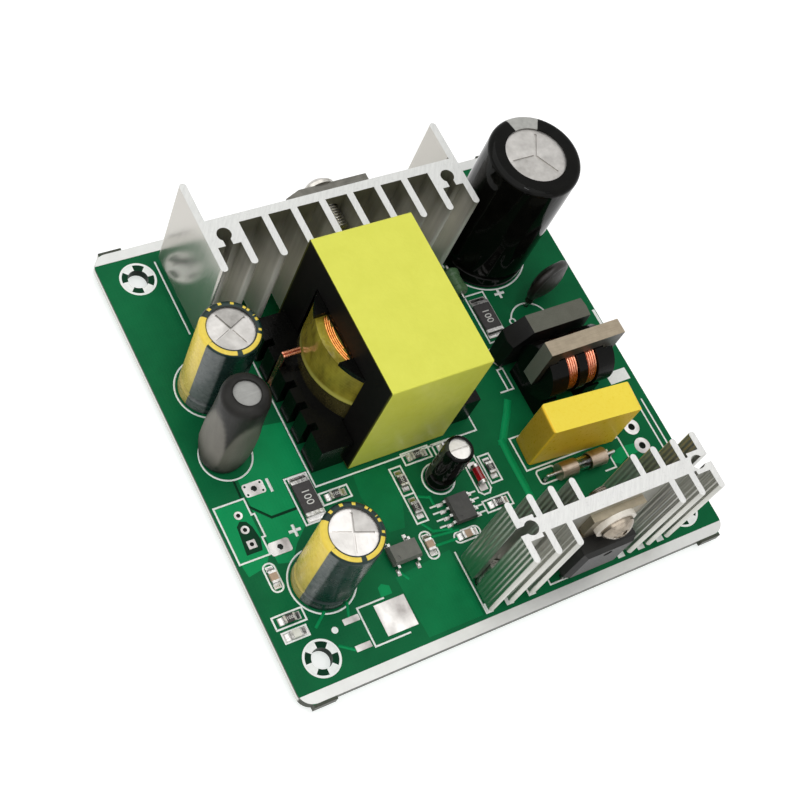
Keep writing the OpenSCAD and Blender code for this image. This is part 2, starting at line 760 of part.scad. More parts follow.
module rear_device_tab() {
    corner = rear_tab_w / 8;
    h = rear_tab_top - device_lift;
    color("silver") on_board([rear_device_x, rear_back_y], device_lift) difference() {
        upright(0, rear_tab_t) polygon([
            [-rear_tab_w / 2, 0], [rear_tab_w / 2, 0], [rear_tab_w / 2, h],
            [-rear_tab_w / 2 + corner, h], [-rear_tab_w / 2, h - corner]
        ]);
        translate([-rear_tab_shift, -past, rear_screw_z - device_lift]) rotate([-90, 0, 0])
            cylinder(d = screw_d + 2 * fit, h = rear_tab_t + 2 * past);
    }
}

// Plastic moulding with bevelled edges, its flat back at y = 0 and its face towards +Y
module device_moulding(w, t, h) {
    bevel = t * 0.22;
    difference() {
        intersection() {
            across(-w / 2, w) polygon([
                [0, 0], [t - bevel, 0], [t, bevel], [t, h - bevel], [t - bevel, h], [0, h]
            ]);
            linear_extrude(h) polygon([
                [-w / 2, 0], [w / 2, 0], [w / 2, t - bevel], [w / 2 - bevel, t],
                [-w / 2 + bevel, t], [-w / 2, t - bevel]
            ]);
        }
        translate([0, t - bevel / 4, h * 0.78]) rotate([-90, 0, 0]) cylinder(d = t / 2, h = t);
    }
}

module rear_device_body() {
    color("dimgray") on_board([rear_device_x, rear_back_y + rear_tab_t], device_lift)
        device_moulding(rear_body_w, rear_body_t, rear_body_top - device_lift);
}

module rear_device_leads() {
    color("silver") leads(rear_leads_at, power_lead_d, device_lift);
}

module rear_screw() {
    color("lightgray") on_board([rear_screw_x, rear_back_y + rear_tab_t], rear_screw_z)
        rotate([-90, 0, 0]) screw(rear_screw_length);
}

// Front heatsink and its device

module front_section() {
    boss_y = front_web_t / 2 - front_boss / 2;
    boss_w = 2 * (front_key_x[0] - front_fin_t / 2);
    difference() {
        union() {
            square([front_w, front_web_t]);
            for (i = [0, 1, 2, 7, 8, 9]) translate([i * front_pitch + front_fin_t / 2, 0])
                mirror([0, 1]) fin(front_fin_t, front_fin_length);
            for (i = [0, 1, 2, 3, 6, 7, 8, 9]) translate([i * front_pitch + front_fin_t / 2, front_web_t])
                fin(front_fin_t, front_back_length);
            for (x = [0, front_w - boss_w]) translate([x, boss_y]) square([boss_w, front_boss]);
        }
        for (s = [0, 1]) translate([front_key_x[s], front_web_t / 2]) rotate(s == 0 ? -90 : 90)
            keyhole(front_boss);
    }
}

module front_heatsink() {
    color("whitesmoke") difference() {
        on_board([front_x, front_web_y], sink_lift) linear_extrude(sink_h) front_section();
        on_board([front_screw_x, front_web_y - past], front_screw_z) rotate([-90, 0, 0])
            cylinder(d = screw_d + 2 * fit, h = front_web_t + 2 * past);
    }
}

module front_heatsink_pins() {
    color("silver") leads(front_pins_at, sink_pin_d, sink_pin_h);
}

bush_sleeve_d = screw_d + 2 * fit + 2 * bush_wall;

module front_device_tab() {
    h = front_tab_top - device_lift;
    notch = front_tab_t;
    color("silver") on_board([front_screw_x, front_web_y - front_tab_t], device_lift) difference() {
        upright(0, front_tab_t) difference() {
            translate([-front_tab_w / 2, 0]) square([front_tab_w, h]);
            for (s = [-1, 1]) translate([s * front_tab_w / 2, h * 0.68])
                square([notch, notch], center = true);
        }
        translate([0, -past, front_screw_z - device_lift]) rotate([-90, 0, 0])
            cylinder(d = bush_sleeve_d + 2 * fit, h = front_tab_t + 2 * past);
    }
}

module front_device_body() {
    color("dimgray") on_board([front_screw_x, front_web_y - front_tab_t], device_lift) rotate(180)
        device_moulding(front_tab_w, front_body_t, front_body_top - device_lift);
}

module front_device_leads() {
    color("silver") leads(front_leads_at, power_lead_d, device_lift);
}

module front_bush() {
    color("white") on_board([front_screw_x, front_web_y - front_tab_t], front_screw_z)
        rotate([90, 0, 0]) difference() {
            union() {
                cylinder(d = bush_d, h = bush_t);
                translate([0, 0, -front_tab_t]) cylinder(d = bush_sleeve_d, h = front_tab_t + e);
            }
            translate([0, 0, -front_tab_t - past])
                cylinder(d = screw_d + 2 * fit, h = front_tab_t + bush_t + 2 * past);
        }
}

module front_screw() {
    color("lightgray") on_board([front_screw_x, front_web_y - front_tab_t - bush_t], front_screw_z)
        rotate([90, 0, 0]) screw(front_screw_length);
}

// Transformer

module transformer_core() {
    color([0.16, 0.16, 0.17]) on_board([xfmr_x, xfmr_y]) {
        difference() {
            translate([-core_w / 2, -core_d / 2, core_z]) cube([core_w, core_d, core_h]);
            translate([0, 0, window_z]) cylinder(r = window_r, h = window_h);
        }
        translate([0, 0, window_z - e]) cylinder(r = post_r, h = window_h + 2 * e);
    }
}

module transformer_tape() {
    color("gold") on_board([xfmr_x, xfmr_y]) difference() {
        across(-core_w / 2, core_w) translate([0, core_z + core_h / 2])
            rounded_square([core_d + 2 * tape_t, core_h + 2 * tape_t], tape_t);
        translate([-core_w / 2 - past, -core_d / 2, core_z]) cube([core_w + 2 * past, core_d, core_h]);
        translate([0, 0, window_z]) cylinder(r = window_r, h = window_h);
    }
}

module rail_slots() {
    for (s = [-1, 1], at = row_y([s * rail_reach, 0], rail_pins - 1, rail_pitch))
        translate([at[0], at[1], winding_z / 2])
            cube([rail_w / 2, rail_slot, winding_z * 2], center = true);
}

module transformer_bobbin() {
    color([0.1, 0.1, 0.1]) on_board([xfmr_x, xfmr_y]) {
        difference() {
            union() {
                translate([0, 0, winding_z - flange_t]) cylinder(r = flange_r, h = flange_t);
                for (s = [-1, 1]) translate([s * (rail_inner + rail_w / 2), 0, winding_z / 2])
                    cube([rail_w, rail_length, winding_z], center = true);
                translate([0, 0, winding_z + winding_h]) linear_extrude(flange_t) difference() {
                    circle(flange_r);
                    for (s = [-1, 1]) translate([s * core_w, 0])
                        square([core_w, flange_window], center = true);
                }
                translate([0, 0, winding_z - e]) cylinder(r = post_r + fit + bobbin_wall, h = winding_h + 2 * e);
            }
            translate([0, 0, window_z - past]) cylinder(r = post_r + fit, h = window_h + 2 * past);
            rail_slots();
        }
    }
}

module transformer_winding() {
    color("khaki") on_board([xfmr_x, xfmr_y], winding_z) difference() {
        cylinder(r = winding_r, h = winding_h);
        translate([0, 0, -past]) cylinder(r = post_r + fit + bobbin_wall, h = winding_h + 2 * past);
    }
}

// Two strands that come out of the winding and run down a slot of the left rail
module transformer_wires() {
    x = strand_d / 2 + fit - rail_reach;
    z = winding_z + winding_h / 4;
    slot_y = rail_pitch * (rail_pins % 2 == 0 ? 1 : 0.5);
    color("peru") on_board([xfmr_x, xfmr_y]) for (s = [-0.5, 0.5]) {
        y = slot_y + s * strand_d;
        inner = sqrt(pow(winding_r + fit, 2) - pow(y - strand_d / 2, 2));
        translate([x, y, z]) rotate([0, 90, 0]) cylinder(d = strand_d, h = -inner - x);
        translate([x, y, z]) sphere(d = strand_d);
        translate([x, y, stand_off]) cylinder(d = strand_d, h = z - stand_off);
    }
}

module transformer_pins() {
    color("silver") leads(xfmr_pins_at, power_lead_d, 0);
}

// Capacitors and the sleeved inductor

module bulk_cap_can() {
    color("gainsboro") on_board(bulk_at) can(bulk_d, bulk_h, bulk_open_share, 3, bulk_vent);
}

module bulk_cap_sleeve() {
    color([0.12, 0.12, 0.13]) on_board(bulk_at) can_sleeve(bulk_d, bulk_h, bulk_open_share);
}

module bulk_cap_leads() {
    color("silver") leads(bulk_leads_at, power_lead_d, can_base);
}

module output_cap_cans() {
    color("gainsboro") for (at = output_at) on_board(at) can(output_d, output_h, can_open_share, 4, at[2]);
}

module output_cap_sleeves() {
    color([0.1, 0.2, 0.17]) for (at = output_at) on_board(at) can_sleeve(output_d, output_h, can_open_share);
}

module output_cap_leads() {
    color("silver") leads(output_leads_at, thin_lead_d, can_base);
}

module small_cap_can() {
    color("whitesmoke") on_board(small_at) can(small_d, small_h, can_open_share, 2, 0);
}

module small_cap_sleeve() {
    color([0.12, 0.12, 0.13]) on_board(small_at) can_sleeve(small_d, small_h, can_open_share);
}

module small_cap_leads() {
    color("silver") leads(small_leads_at, thin_lead_d, can_base);
}

coil_r = coil_d / 2;
coil_top = coil_h - stand_off;

module inductor_core() {
    slack = coil_sleeve_t + fit;
    color("gray") on_board(coil_at, stand_off) rotate_extrude()
        round_section(coil_r - slack, coil_top - slack, coil_round - slack);
}

// Shrunk sleeve, open at both ends, with its mouth drawn in over the core
module inductor_sleeve() {
    t = coil_sleeve_t;
    color([0.13, 0.13, 0.14]) on_board(coil_at, stand_off) rotate_extrude() difference() {
        round_section(coil_r, coil_top, coil_round);
        round_section(coil_r - t, coil_top - t, coil_round - t);
        square([coil_r - coil_round, coil_h]);
    }
}

module inductor_leads() {
    color("silver") leads(coil_leads_at, power_lead_d, stand_off);
}

// Mains filter

module film_cap_body() {
    color("gold") on_board(film_at, stand_off) rotate(film_turn) intersection() {
        linear_extrude(film_size[2]) rounded_square([film_size[0], film_size[1]], film_edge);
        upright(-film_size[1], 2 * film_size[1]) translate([0, film_size[2] / 2 - film_edge])
            rounded_square([film_size[0], film_size[2] + 2 * film_edge], film_edge);
    }
}

module film_cap_leads() {
    color("silver") leads(film_leads_at, thin_lead_d, stand_off);
}

module choke_core() {
    color([0.2, 0.2, 0.21]) on_board([cmc_at[0], cmc_at[1] - limb / 2], loop_lift) upright(0, limb)
        difference() {
            translate([-loop_length / 2, 0]) square([loop_length, loop_h]);
            translate([-loop_length / 2 + limb, limb]) square([loop_length - 2 * limb, loop_h - 2 * limb]);
        }
}

cmc_core_r = limb * 0.75 + fit;
cmc_winding_r = cmc_flange_r - cmc_sink;

// Split bobbin on the loop's lower limb, on two feet that hold the pins
module choke_bobbin() {
    half = cmc_inside / 2;
    color([0.1, 0.1, 0.1]) on_board(cmc_at) difference() {
        union() {
            translate([-half, 0, cmc_limb_z]) rotate([0, 90, 0]) cylinder(r = cmc_core_r, h = cmc_inside);
            translate([-cmc_flange_t / 2, 0, cmc_limb_z]) rotate([0, 90, 0])
                cylinder(r = cmc_flange_r, h = cmc_flange_t);
            for (a = [0, 180]) rotate(a) translate([half - cmc_cheek_t, 0, cmc_limb_z]) rotate([0, 90, 0])
                cylinder(r = cmc_flange_r, h = cmc_cheek_t + cmc_cheek_out);
            for (s = [-1, 1]) translate([s * (half + foot_out / 2 - cmc_cheek_t / 2), 0, foot_h / 2])
                cube([foot_out + cmc_cheek_t, 2 * cmc_foot_half, foot_h], center = true);
        }
        translate([0, 0, cmc_limb_z])
            cube([loop_length, limb + 2 * fit, limb + 2 * fit], center = true);
        for (s = [-1, 1]) translate([s * (half + loop_length / 2), 0, cmc_limb_z + loop_h / 2])
            cube([loop_length, limb + 2 * fit, loop_h + limb + 2 * fit], center = true);
    }
}

// Two windings whose outer turns stand side by side
module choke_windings() {
    length = cmc_inside / 2 - cmc_flange_t / 2 - cmc_cheek_t;
    turns = floor(length / cmc_wire_d);
    wire_r = cmc_winding_r - cmc_wire_d / 2;
    color("peru") on_board(cmc_at, cmc_limb_z) for (x = [cmc_flange_t / 2, -cmc_flange_t / 2 - length])
        translate([x, 0, 0]) rotate([0, 90, 0]) rotate_extrude() {
            translate([cmc_core_r, 0]) square([wire_r - cmc_core_r, length]);
            for (i = [0 : turns - 1]) translate([wire_r, length * (i + 0.5) / turns]) circle(d = cmc_wire_d);
        }
}

module choke_pins() {
    color("silver") leads(cmc_pins_at, thin_lead_d, 0);
}

module bridge_body() {
    l = bridge_size[0];
    t = bridge_size[1];
    h = bridge_size[2];
    d = bridge_draft;
    color([0.22, 0.22, 0.23]) on_board(bridge_at, bridge_lift) intersection() {
        upright(-t / 2, t) polygon([
            [-l / 2, 0], [l / 2, 0], [l / 2, h], [-l / 2 + bridge_cut, h], [-l / 2, h - bridge_cut]
        ]);
        across(-l / 2, l) polygon([
            [-t / 2 + d, 0], [t / 2 - d, 0], [t / 2, h / 2], [t / 2 - d, h], [-t / 2 + d, h], [-t / 2, h / 2]
        ]);
        linear_extrude(h) polygon([
            [-l / 2 + d, -t / 2], [l / 2 - d, -t / 2], [l / 2, 0], [l / 2 - d, t / 2],
            [-l / 2 + d, t / 2], [-l / 2, 0]
        ]);
    }
}

module bridge_leads() {
    color("silver") leads(bridge_leads_at, power_lead_d, bridge_lift);
}

// Coated disc with domed faces; the coating runs a little way down both leads
module thermistor_disc() {
    r = (ntc_d - ntc_rim) / 2;
    rise = (ntc_t - ntc_rim) / 2;
    dome = (r * r + rise * rise) / (2 * rise);
    color([0.13, 0.14, 0.14]) on_board(ntc_at) rotate(ntc_turn) {
        translate([0, 0, ntc_coat + ntc_d / 2]) rotate([90, 0, 0]) rotate_extrude() {
            intersection() {
                translate([0, ntc_t / 2 - dome]) circle(dome);
                translate([0, dome - ntc_t / 2]) circle(dome);
                translate([0, -ntc_t / 2]) square([r, ntc_t]);
            }
            intersection() {
                translate([r, 0]) circle(d = ntc_rim);
                translate([r, -ntc_rim / 2]) square(ntc_rim);
            }
        }
        for (s = [-1, 1]) translate([s * ntc_pitch / 2, 0, ntc_coat])
            cylinder(d = 2.4 * thin_lead_d, h = ntc_d * 0.3);
    }
}

module thermistor_leads() {
    color("silver") leads(ntc_leads_at, thin_lead_d, ntc_coat);
}

module fuse_glass() {
    inside = fuse_length / 2 - fuse_cap_t - fit;
    color([0.8, 0.86, 0.86]) on_board(fuse_at, fuse_z) rotate([0, 90, 0]) difference() {
        cylinder(d = fuse_glass_d, h = 2 * inside, center = true);
        cylinder(d = fuse_glass_d - 2 * fuse_wall, h = 2 * (inside + past), center = true);
    }
}

module fuse_caps() {
    color("lightgray") on_board(fuse_at, fuse_z) for (a = [0, 180]) rotate(a)
        translate([fuse_length / 2 - fuse_cap_length, 0, 0]) rotate([0, 90, 0]) difference() {
            cylinder(d = fuse_glass_d + 2 * fuse_cap_t, h = fuse_cap_length);
            translate([0, 0, -past])
                cylinder(d = fuse_glass_d + fit, h = fuse_cap_length - fuse_cap_t + past);
        }
}

// The fuse's two leads and the wire that melts between its caps
module fuse_leads() {
    inside = fuse_length / 2 - fuse_cap_t;
    color("silver") on_board(fuse_at) {
        bent_leads(fuse_length / 2, fuse_out, thin_lead_d, fuse_z);
        translate([0, 0, fuse_z]) rotate([0, 90, 0])
            cylinder(d = thin_lead_d / 2, h = 2 * inside, center = true);
    }
}

// Small parts

module axial_resistor_body() {
    r = axial_d / 2;
    l = axial_length / 2;
    cap = axial_length / 4;
    color([0.2, 0.5, 0.4]) on_board(axial_at, axial_z) rotate([90, 0, 0]) rotate_extrude()
        polygon([
            [0, -l], [r * 0.7, -l], [r, -l + r * 0.3], [r, -l + cap], [r * 0.9, -l + cap * 1.25],
            [r * 0.9, l - cap * 1.25], [r, l - cap], [r, l - r * 0.3], [r * 0.7, l], [0, l]
        ]);
}

module axial_resistor_leads() {
    color("silver") on_board(axial_at) rotate(90)
        bent_leads(axial_length / 2, axial_out, thin_lead_d, axial_z);
}

module control_chip_body() {
    color([0.15, 0.15, 0.16]) on_board(chip_at, pad_t + mould_gap) difference() {
        moulding(chip_size);
        translate([-chip_size[0] * 0.28, -chip_size[1] * 0.34, chip_size[2] - wing_t / 2])
            cylinder(d = chip_size[0] / 6, h = past);
    }
}

module control_chip_leads() {
    color("silver") on_board(chip_at)
        wing_leads(chip_size[0] / 2, mould_gap + chip_size[2] / 2 + wing_t / 2, chip_pins, chip_pitch);
}

module coupler_body() {
    color([0.17, 0.17, 0.18]) on_board(coupler_at, pad_t + mould_gap) difference() {
        moulding(coupler_size);
        translate([-coupler_size[0] * 0.32, -coupler_size[1] * 0.24, coupler_size[2] - wing_t / 2])
            cylinder(d = coupler_size[1] / 5, h = past);
    }
}

module coupler_leads() {
    color("silver") on_board(coupler_at) rotate(90)
        wing_leads(coupler_size[1] / 2, mould_gap + coupler_size[2] / 2 + wing_t / 2, 2, coupler_pitch);
}

module diode_glass() {
    color("firebrick") on_board(diode_at, pad_t + diode_d / 2) rotate([90, 0, 0])
        cylinder(d = diode_d - wing_t / 2, h = diode_length - 2 * diode_cap, center = true);
}

module diode_caps() {
    color("silver") on_board(diode_at, pad_t + diode_d / 2) for (s = [-1, 1])
        translate([0, s * (diode_length - diode_cap) / 2, 0]) rotate([90, 0, 0])
            cylinder(d = diode_d, h = diode_cap, center = true);
}

module chip_resistors() {
    color([0.1, 0.1, 0.11]) {
        place_chips(resistor_at) chip_middle(small_chip, small_term);
        place_chips(large_at) chip_middle(large_chip, large_term);
    }
}

module chip_capacitors() {
    color("tan") place_chips(chip_cap_at) chip_middle(small_chip, small_term);
}

module chip_terminals() {
    color("silver") {
        place_chips(concat(resistor_at, chip_cap_at, [led_at])) chip_ends(small_chip, small_term);
        place_chips(large_at) chip_ends(large_chip, large_term);
    }
}

module status_light() {
    color("honeydew") place_chips([led_at]) {
        chip_middle(small_chip, small_term);
        translate([0, 0, pad_t + small_chip[2] - e]) intersection() {
            linear_extrude(led_lens + e)
                square([small_chip[0] - 2 * small_term, small_chip[1]], center = true);
            translate([0, 0, led_lens - small_chip[1]]) rotate([0, 90, 0])
                cylinder(r = small_chip[1], h = small_chip[0], center = true);
        }
    }
}

pcb();
solder_pads();
rear_heatsink();
rear_heatsink_pins();
rear_device_tab();
rear_device_body();
rear_device_leads();
rear_screw();
front_heatsink();
front_heatsink_pins();
front_device_tab();
front_device_body();
front_device_leads();
front_bush();
front_screw();
transformer_core();
transformer_tape();
transformer_bobbin();
transformer_winding();
transformer_wires();
transformer_pins();
bulk_cap_can();
bulk_cap_sleeve();
bulk_cap_leads();
output_cap_cans();
output_cap_sleeves();
output_cap_leads();
small_cap_can();
small_cap_sleeve();
small_cap_leads();
inductor_core();
inductor_sleeve();
inductor_leads();
film_cap_body();
film_cap_leads();
choke_core();
choke_bobbin();
choke_windings();
choke_pins();
bridge_body();
bridge_leads();
thermistor_disc();
thermistor_leads();
axial_resistor_body();
axial_resistor_leads();
fuse_glass();
fuse_caps();
fuse_leads();
control_chip_body();
control_chip_leads();
coupler_body();
coupler_leads();
diode_glass();
diode_caps();
chip_resistors();
chip_capacitors();
chip_terminals();
status_light();
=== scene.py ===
import itertools
import json
import math

import bpy
from mathutils import Matrix, Vector, geometry

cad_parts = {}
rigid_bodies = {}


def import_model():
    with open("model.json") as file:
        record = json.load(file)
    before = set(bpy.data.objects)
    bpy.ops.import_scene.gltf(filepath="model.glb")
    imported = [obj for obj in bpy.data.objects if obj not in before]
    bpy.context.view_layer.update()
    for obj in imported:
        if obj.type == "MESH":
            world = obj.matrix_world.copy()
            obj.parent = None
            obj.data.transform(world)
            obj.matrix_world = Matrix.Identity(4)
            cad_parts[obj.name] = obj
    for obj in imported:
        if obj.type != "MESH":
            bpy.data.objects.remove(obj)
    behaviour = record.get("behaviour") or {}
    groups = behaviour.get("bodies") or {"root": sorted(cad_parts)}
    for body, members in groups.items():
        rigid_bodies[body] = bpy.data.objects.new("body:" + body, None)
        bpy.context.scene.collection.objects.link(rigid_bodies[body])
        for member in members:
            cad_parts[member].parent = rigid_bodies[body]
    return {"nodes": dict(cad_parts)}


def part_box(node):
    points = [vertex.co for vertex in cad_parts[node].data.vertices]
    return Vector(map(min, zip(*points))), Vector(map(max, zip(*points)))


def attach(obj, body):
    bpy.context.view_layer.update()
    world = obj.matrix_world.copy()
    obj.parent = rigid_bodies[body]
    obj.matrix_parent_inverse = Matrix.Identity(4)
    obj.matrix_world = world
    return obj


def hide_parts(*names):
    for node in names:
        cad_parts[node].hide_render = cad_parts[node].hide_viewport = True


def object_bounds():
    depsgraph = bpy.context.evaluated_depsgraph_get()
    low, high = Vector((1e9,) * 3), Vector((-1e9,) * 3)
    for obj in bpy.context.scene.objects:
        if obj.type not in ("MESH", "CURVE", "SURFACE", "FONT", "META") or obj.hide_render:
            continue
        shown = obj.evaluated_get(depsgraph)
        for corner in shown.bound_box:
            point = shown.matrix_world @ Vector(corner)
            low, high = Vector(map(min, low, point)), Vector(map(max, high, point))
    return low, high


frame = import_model()
cad_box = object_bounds()
nodes = frame["nodes"]

# Sizes in millimetres; the panel stubs stand out from the board's front and back edges
MM = 0.001
STUB = 0.5
board_low, board_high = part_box("pcb")
CORNER = Vector((board_low.x, board_low.y + STUB * MM, board_high.z))
HALF_DEPTH = (board_high.y - board_low.y) / 2 / MM - STUB
HALF_WIDTH = (board_high.x - board_low.x) / 2 / MM
BOARD_TOP = board_high.z / MM
FLOOR_Z = cad_box[0][2]

# Lines on the board take one of several heights in turn; a path with more points than this is an arc
RUN_RISE = 0.0017
RUN_LEVELS = 13
RUNS = itertools.count()
CORNER_PATH = 12

# Middles of the parts that stand in printed rings, and of the mounting holes
BULK_CAP = (67.18, 63.9)
OUTPUT_CAPS = ((8.7, 53.8), (11.6, 17.3))
SMALL_CAP = (37.9, 26.2)
INDUCTOR = (6.29, 41.74)
MOUNTS = [(x, y) for x in (6, 76.5) for y in (6, 76)]


# Places from the board's front left corner, heights from its top face
def place(x, y, z=0.0):
    return CORNER + Vector((x, y, z)) * MM


def middle(node):
    low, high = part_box(node)
    return (low + high) / 2


# Colours and angles
def dimmed(colour, share):
    return tuple(c * share for c in colour)


def cosine(degrees):
    return math.cos(math.radians(degrees))


# Node graphs written as Python
class Value:
    """A socket's value: arithmetic on it adds Math nodes to its graph."""

    def __init__(self, graph, socket):
        self.graph, self.socket = graph, socket

    def __add__(self, other):
        return self.graph.math("ADD", self, other)

    def __sub__(self, other):
        return self.graph.math("SUBTRACT", self, other)

    def __rsub__(self, other):
        return self.graph.math("SUBTRACT", other, self)

    def __mul__(self, other):
        return self.graph.math("MULTIPLY", self, other)

    def __truediv__(self, other):
        return self.graph.math("DIVIDE", self, other)

    def __rtruediv__(self, other):
        return self.graph.math("DIVIDE", other, self)

    def __pow__(self, other):
        return self.graph.math("POWER", self, other)

    def __gt__(self, other):
        return self.graph.math("GREATER_THAN", self, other)

    def __lt__(self, other):
        return self.graph.math("LESS_THAN", self, other)

    def __abs__(self):
        return self.graph.math("ABSOLUTE", self)

    __radd__ = __add__
    __rmul__ = __mul__

    def sine(self):
        return self.graph.math("SINE", self)

    def most(self, other):
        return self.graph.math("MAXIMUM", self, other)


class Graph:
    """A node tree whose nodes all come from one method."""

    def __init__(self, tree):
        self.tree = tree

    def node(self, kind, settings=None, sockets=None, out=0):
        made = self.tree.nodes.new(kind)
        for name, setting in (settings or {}).items():
            setattr(made, name, setting)
        for name, value in (sockets or {}).items():
            self.feed(made.inputs[name], value)
        return Value(self, made.outputs[out])

    def feed(self, socket, value):
        if isinstance(value, Value):
            self.tree.links.new(value.socket, socket)
        elif isinstance(value, (tuple, Vector)) and len(value) == 3 and socket.type == "RGBA":
            socket.default_value = (*value, 1)
        else:
            socket.default_value = value

    def math(self, operation, first, second=0.0):
        return self.node("ShaderNodeMath", {"operation": operation}, {0: first, 1: second})


class Finish(Graph):
    """A material: Object coordinates in millimetres and one Principled shader."""

    def __init__(self, name, **fixed):
        self.material = bpy.data.materials.new(name)
        self.material.use_nodes = True
        super().__init__(self.material.node_tree)
        self.tree.nodes.clear()
        self.shader = self.tree.nodes.new("ShaderNodeBsdfPrincipled")
        self.out = self.tree.nodes.new("ShaderNodeOutputMaterial")
        self.tree.links.new(self.shader.outputs[0], self.out.inputs[0])
        self.set(**fixed)

    def set(self, **sockets):
        for name, value in sockets.items():
            self.feed(self.shader.inputs[name.replace("_", " ")], value)
        return self

    def point(self, scale=(1, 1, 1), at=(0, 0, 0), turn=0.0):
        coords = self.node("ShaderNodeTexCoord", out=3)
        centred = self.node("ShaderNodeVectorMath", {"operation": "SUBTRACT"},
                            {0: coords, 1: Vector(at)})
        return self.node("ShaderNodeMapping", {}, {
            "Vector": centred, "Scale": Vector(scale) * 1000, "Rotation": (0, 0, turn)})

    def axes(self, point):
        split = self.tree.nodes.new("ShaderNodeSeparateXYZ")
        self.feed(split.inputs[0], point)
        return [Value(self, s) for s in split.outputs]

    def facing(self):
        return self.axes(self.node("ShaderNodeNewGeometry", out=1))

    def noise(self, size, detail=3.0, rough=0.55, stretch=(1, 1, 1), at=(0, 0, 0)):
        return self.node("ShaderNodeTexNoise", {}, {
            "Vector": self.point(stretch, at), "Scale": 1 / size, "Detail": detail,
            "Roughness": rough})

    def blend(self, first, second, share):
        return self.node("ShaderNodeMix", {"data_type": "RGBA"}, {0: share, 6: first, 7: second}, 2)

    def step(self, value, low, high):
        return self.node("ShaderNodeMapRange", {"interpolation_type": "SMOOTHSTEP"}, {
            "Value": value, "From Min": low, "From Max": high})

    def spread(self, value, low, high):
        return self.node("ShaderNodeMapRange", {}, {
            "Value": value, "From Min": 0.25, "From Max": 0.75, "To Min": low, "To Max": high})

    def bump(self, height, depth):
        self.set(Normal=self.node("ShaderNodeBump", {}, {
            "Height": height, "Distance": depth * MM, "Strength": 1.0}))
        return self


class Tree(Graph):
    """A Geometry Nodes tree with named inputs."""

    def __init__(self, name, inputs):
        super().__init__(bpy.data.node_groups.new(name, "GeometryNodeTree"))
        sockets = self.tree.interface
        sockets.new_socket("Geometry", in_out="INPUT", socket_type="NodeSocketGeometry")
        self.ids = {label: sockets.new_socket(label, in_out="INPUT",
                                              socket_type="NodeSocket" + kind).identifier
                    for label, kind in inputs.items()}
        sockets.new_socket("Geometry", in_out="OUTPUT", socket_type="NodeSocketGeometry")
        self.entry = self.tree.nodes.new("NodeGroupInput")

    def given(self, label):
        return Value(self, self.entry.outputs[label])

    def close(self, geometry):
        real = self.node("GeometryNodeRealizeInstances", {}, {0: geometry})
        dressed = self.node("GeometryNodeSetMaterial", {}, {
            "Geometry": real, "Material": self.given("Finish")})
        end = self.tree.nodes.new("NodeGroupOutput")
        self.feed(end.inputs[0], dressed)

    def bake(self, name, mesh, **values):
        source = bpy.data.objects.new(name + "_source", mesh)
        bpy.context.scene.collection.objects.link(source)
        maker = source.modifiers.new("maker", "NODES")
        maker.node_group = self.tree
        for label, value in values.items():
            maker[self.ids[label.replace("_", " ")]] = value
        bpy.context.view_layer.update()
        graph = bpy.context.evaluated_depsgraph_get()
        baked = bpy.data.meshes.new_from_object(source.evaluated_get(graph))
        source.modifiers.remove(maker)
        bpy.data.objects.remove(source)
        return piece(name, baked, values["Finish"])


# Pieces and their meshes
def piece(name, mesh, finish):
    made = bpy.data.objects.new(name, mesh)
    bpy.context.scene.collection.objects.link(made)
    mesh.materials.clear()
    mesh.materials.append(finish)
    for face in mesh.polygons:
        face.material_index = 0
    return made


def mesh_of(name, points, faces=(), edges=()):
    mesh = bpy.data.meshes.new(name)
    mesh.from_pydata(points, edges, faces)
    mesh.update()
    return mesh


def ride(made):
    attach(made, "root")
    return made


def arc(cx, cy, r, start, end, steps=40):
    return [(cx + r * math.cos(math.radians(start + (end - start) * i / steps)),
             cy + r * math.sin(math.radians(start + (end - start) * i / steps)))
            for i in range(steps + 1)]


def oblong(x0, y0, x1, y1):
    return [(x0, y0), (x1, y0), (x1, y1), (x0, y1), (x0, y0)]


def straight_run(start, end, width):
    start, end = Vector(start), Vector(end)
    out = (end - start).normalized() * width / 2
    return [start - out, end + out]


def paths_mesh(name, paths, width):
    """Each straight run is an edge of its own, long enough to fill the corners; arcs stay whole.
    Every run lies a hair above or below the others, so that no two faces share a plane."""
    points, edges = [], []
    for path in paths:
        is_arc = len(path) > CORNER_PATH
        runs = [path] if is_arc else [straight_run(a, b, width) for a, b in zip(path, path[1:])]
        for run in runs:
            rise = RUN_RISE * (next(RUNS) % RUN_LEVELS)
            first = len(points)
            points += [place(*p, rise) for p in run]
            edges += [(first + i, first + i + 1) for i in range(len(run) - 1)]
    return mesh_of(name, points, edges=edges)


def inside(outline, x, y):
    crossings = [ax + (y - ay) * (bx - ax) / (by - ay) > x
                 for (ax, ay), (bx, by) in zip(outline, outline[1:] + outline[:1])
                 if (ay > y) != (by > y)]
    return sum(crossings) % 2 == 1


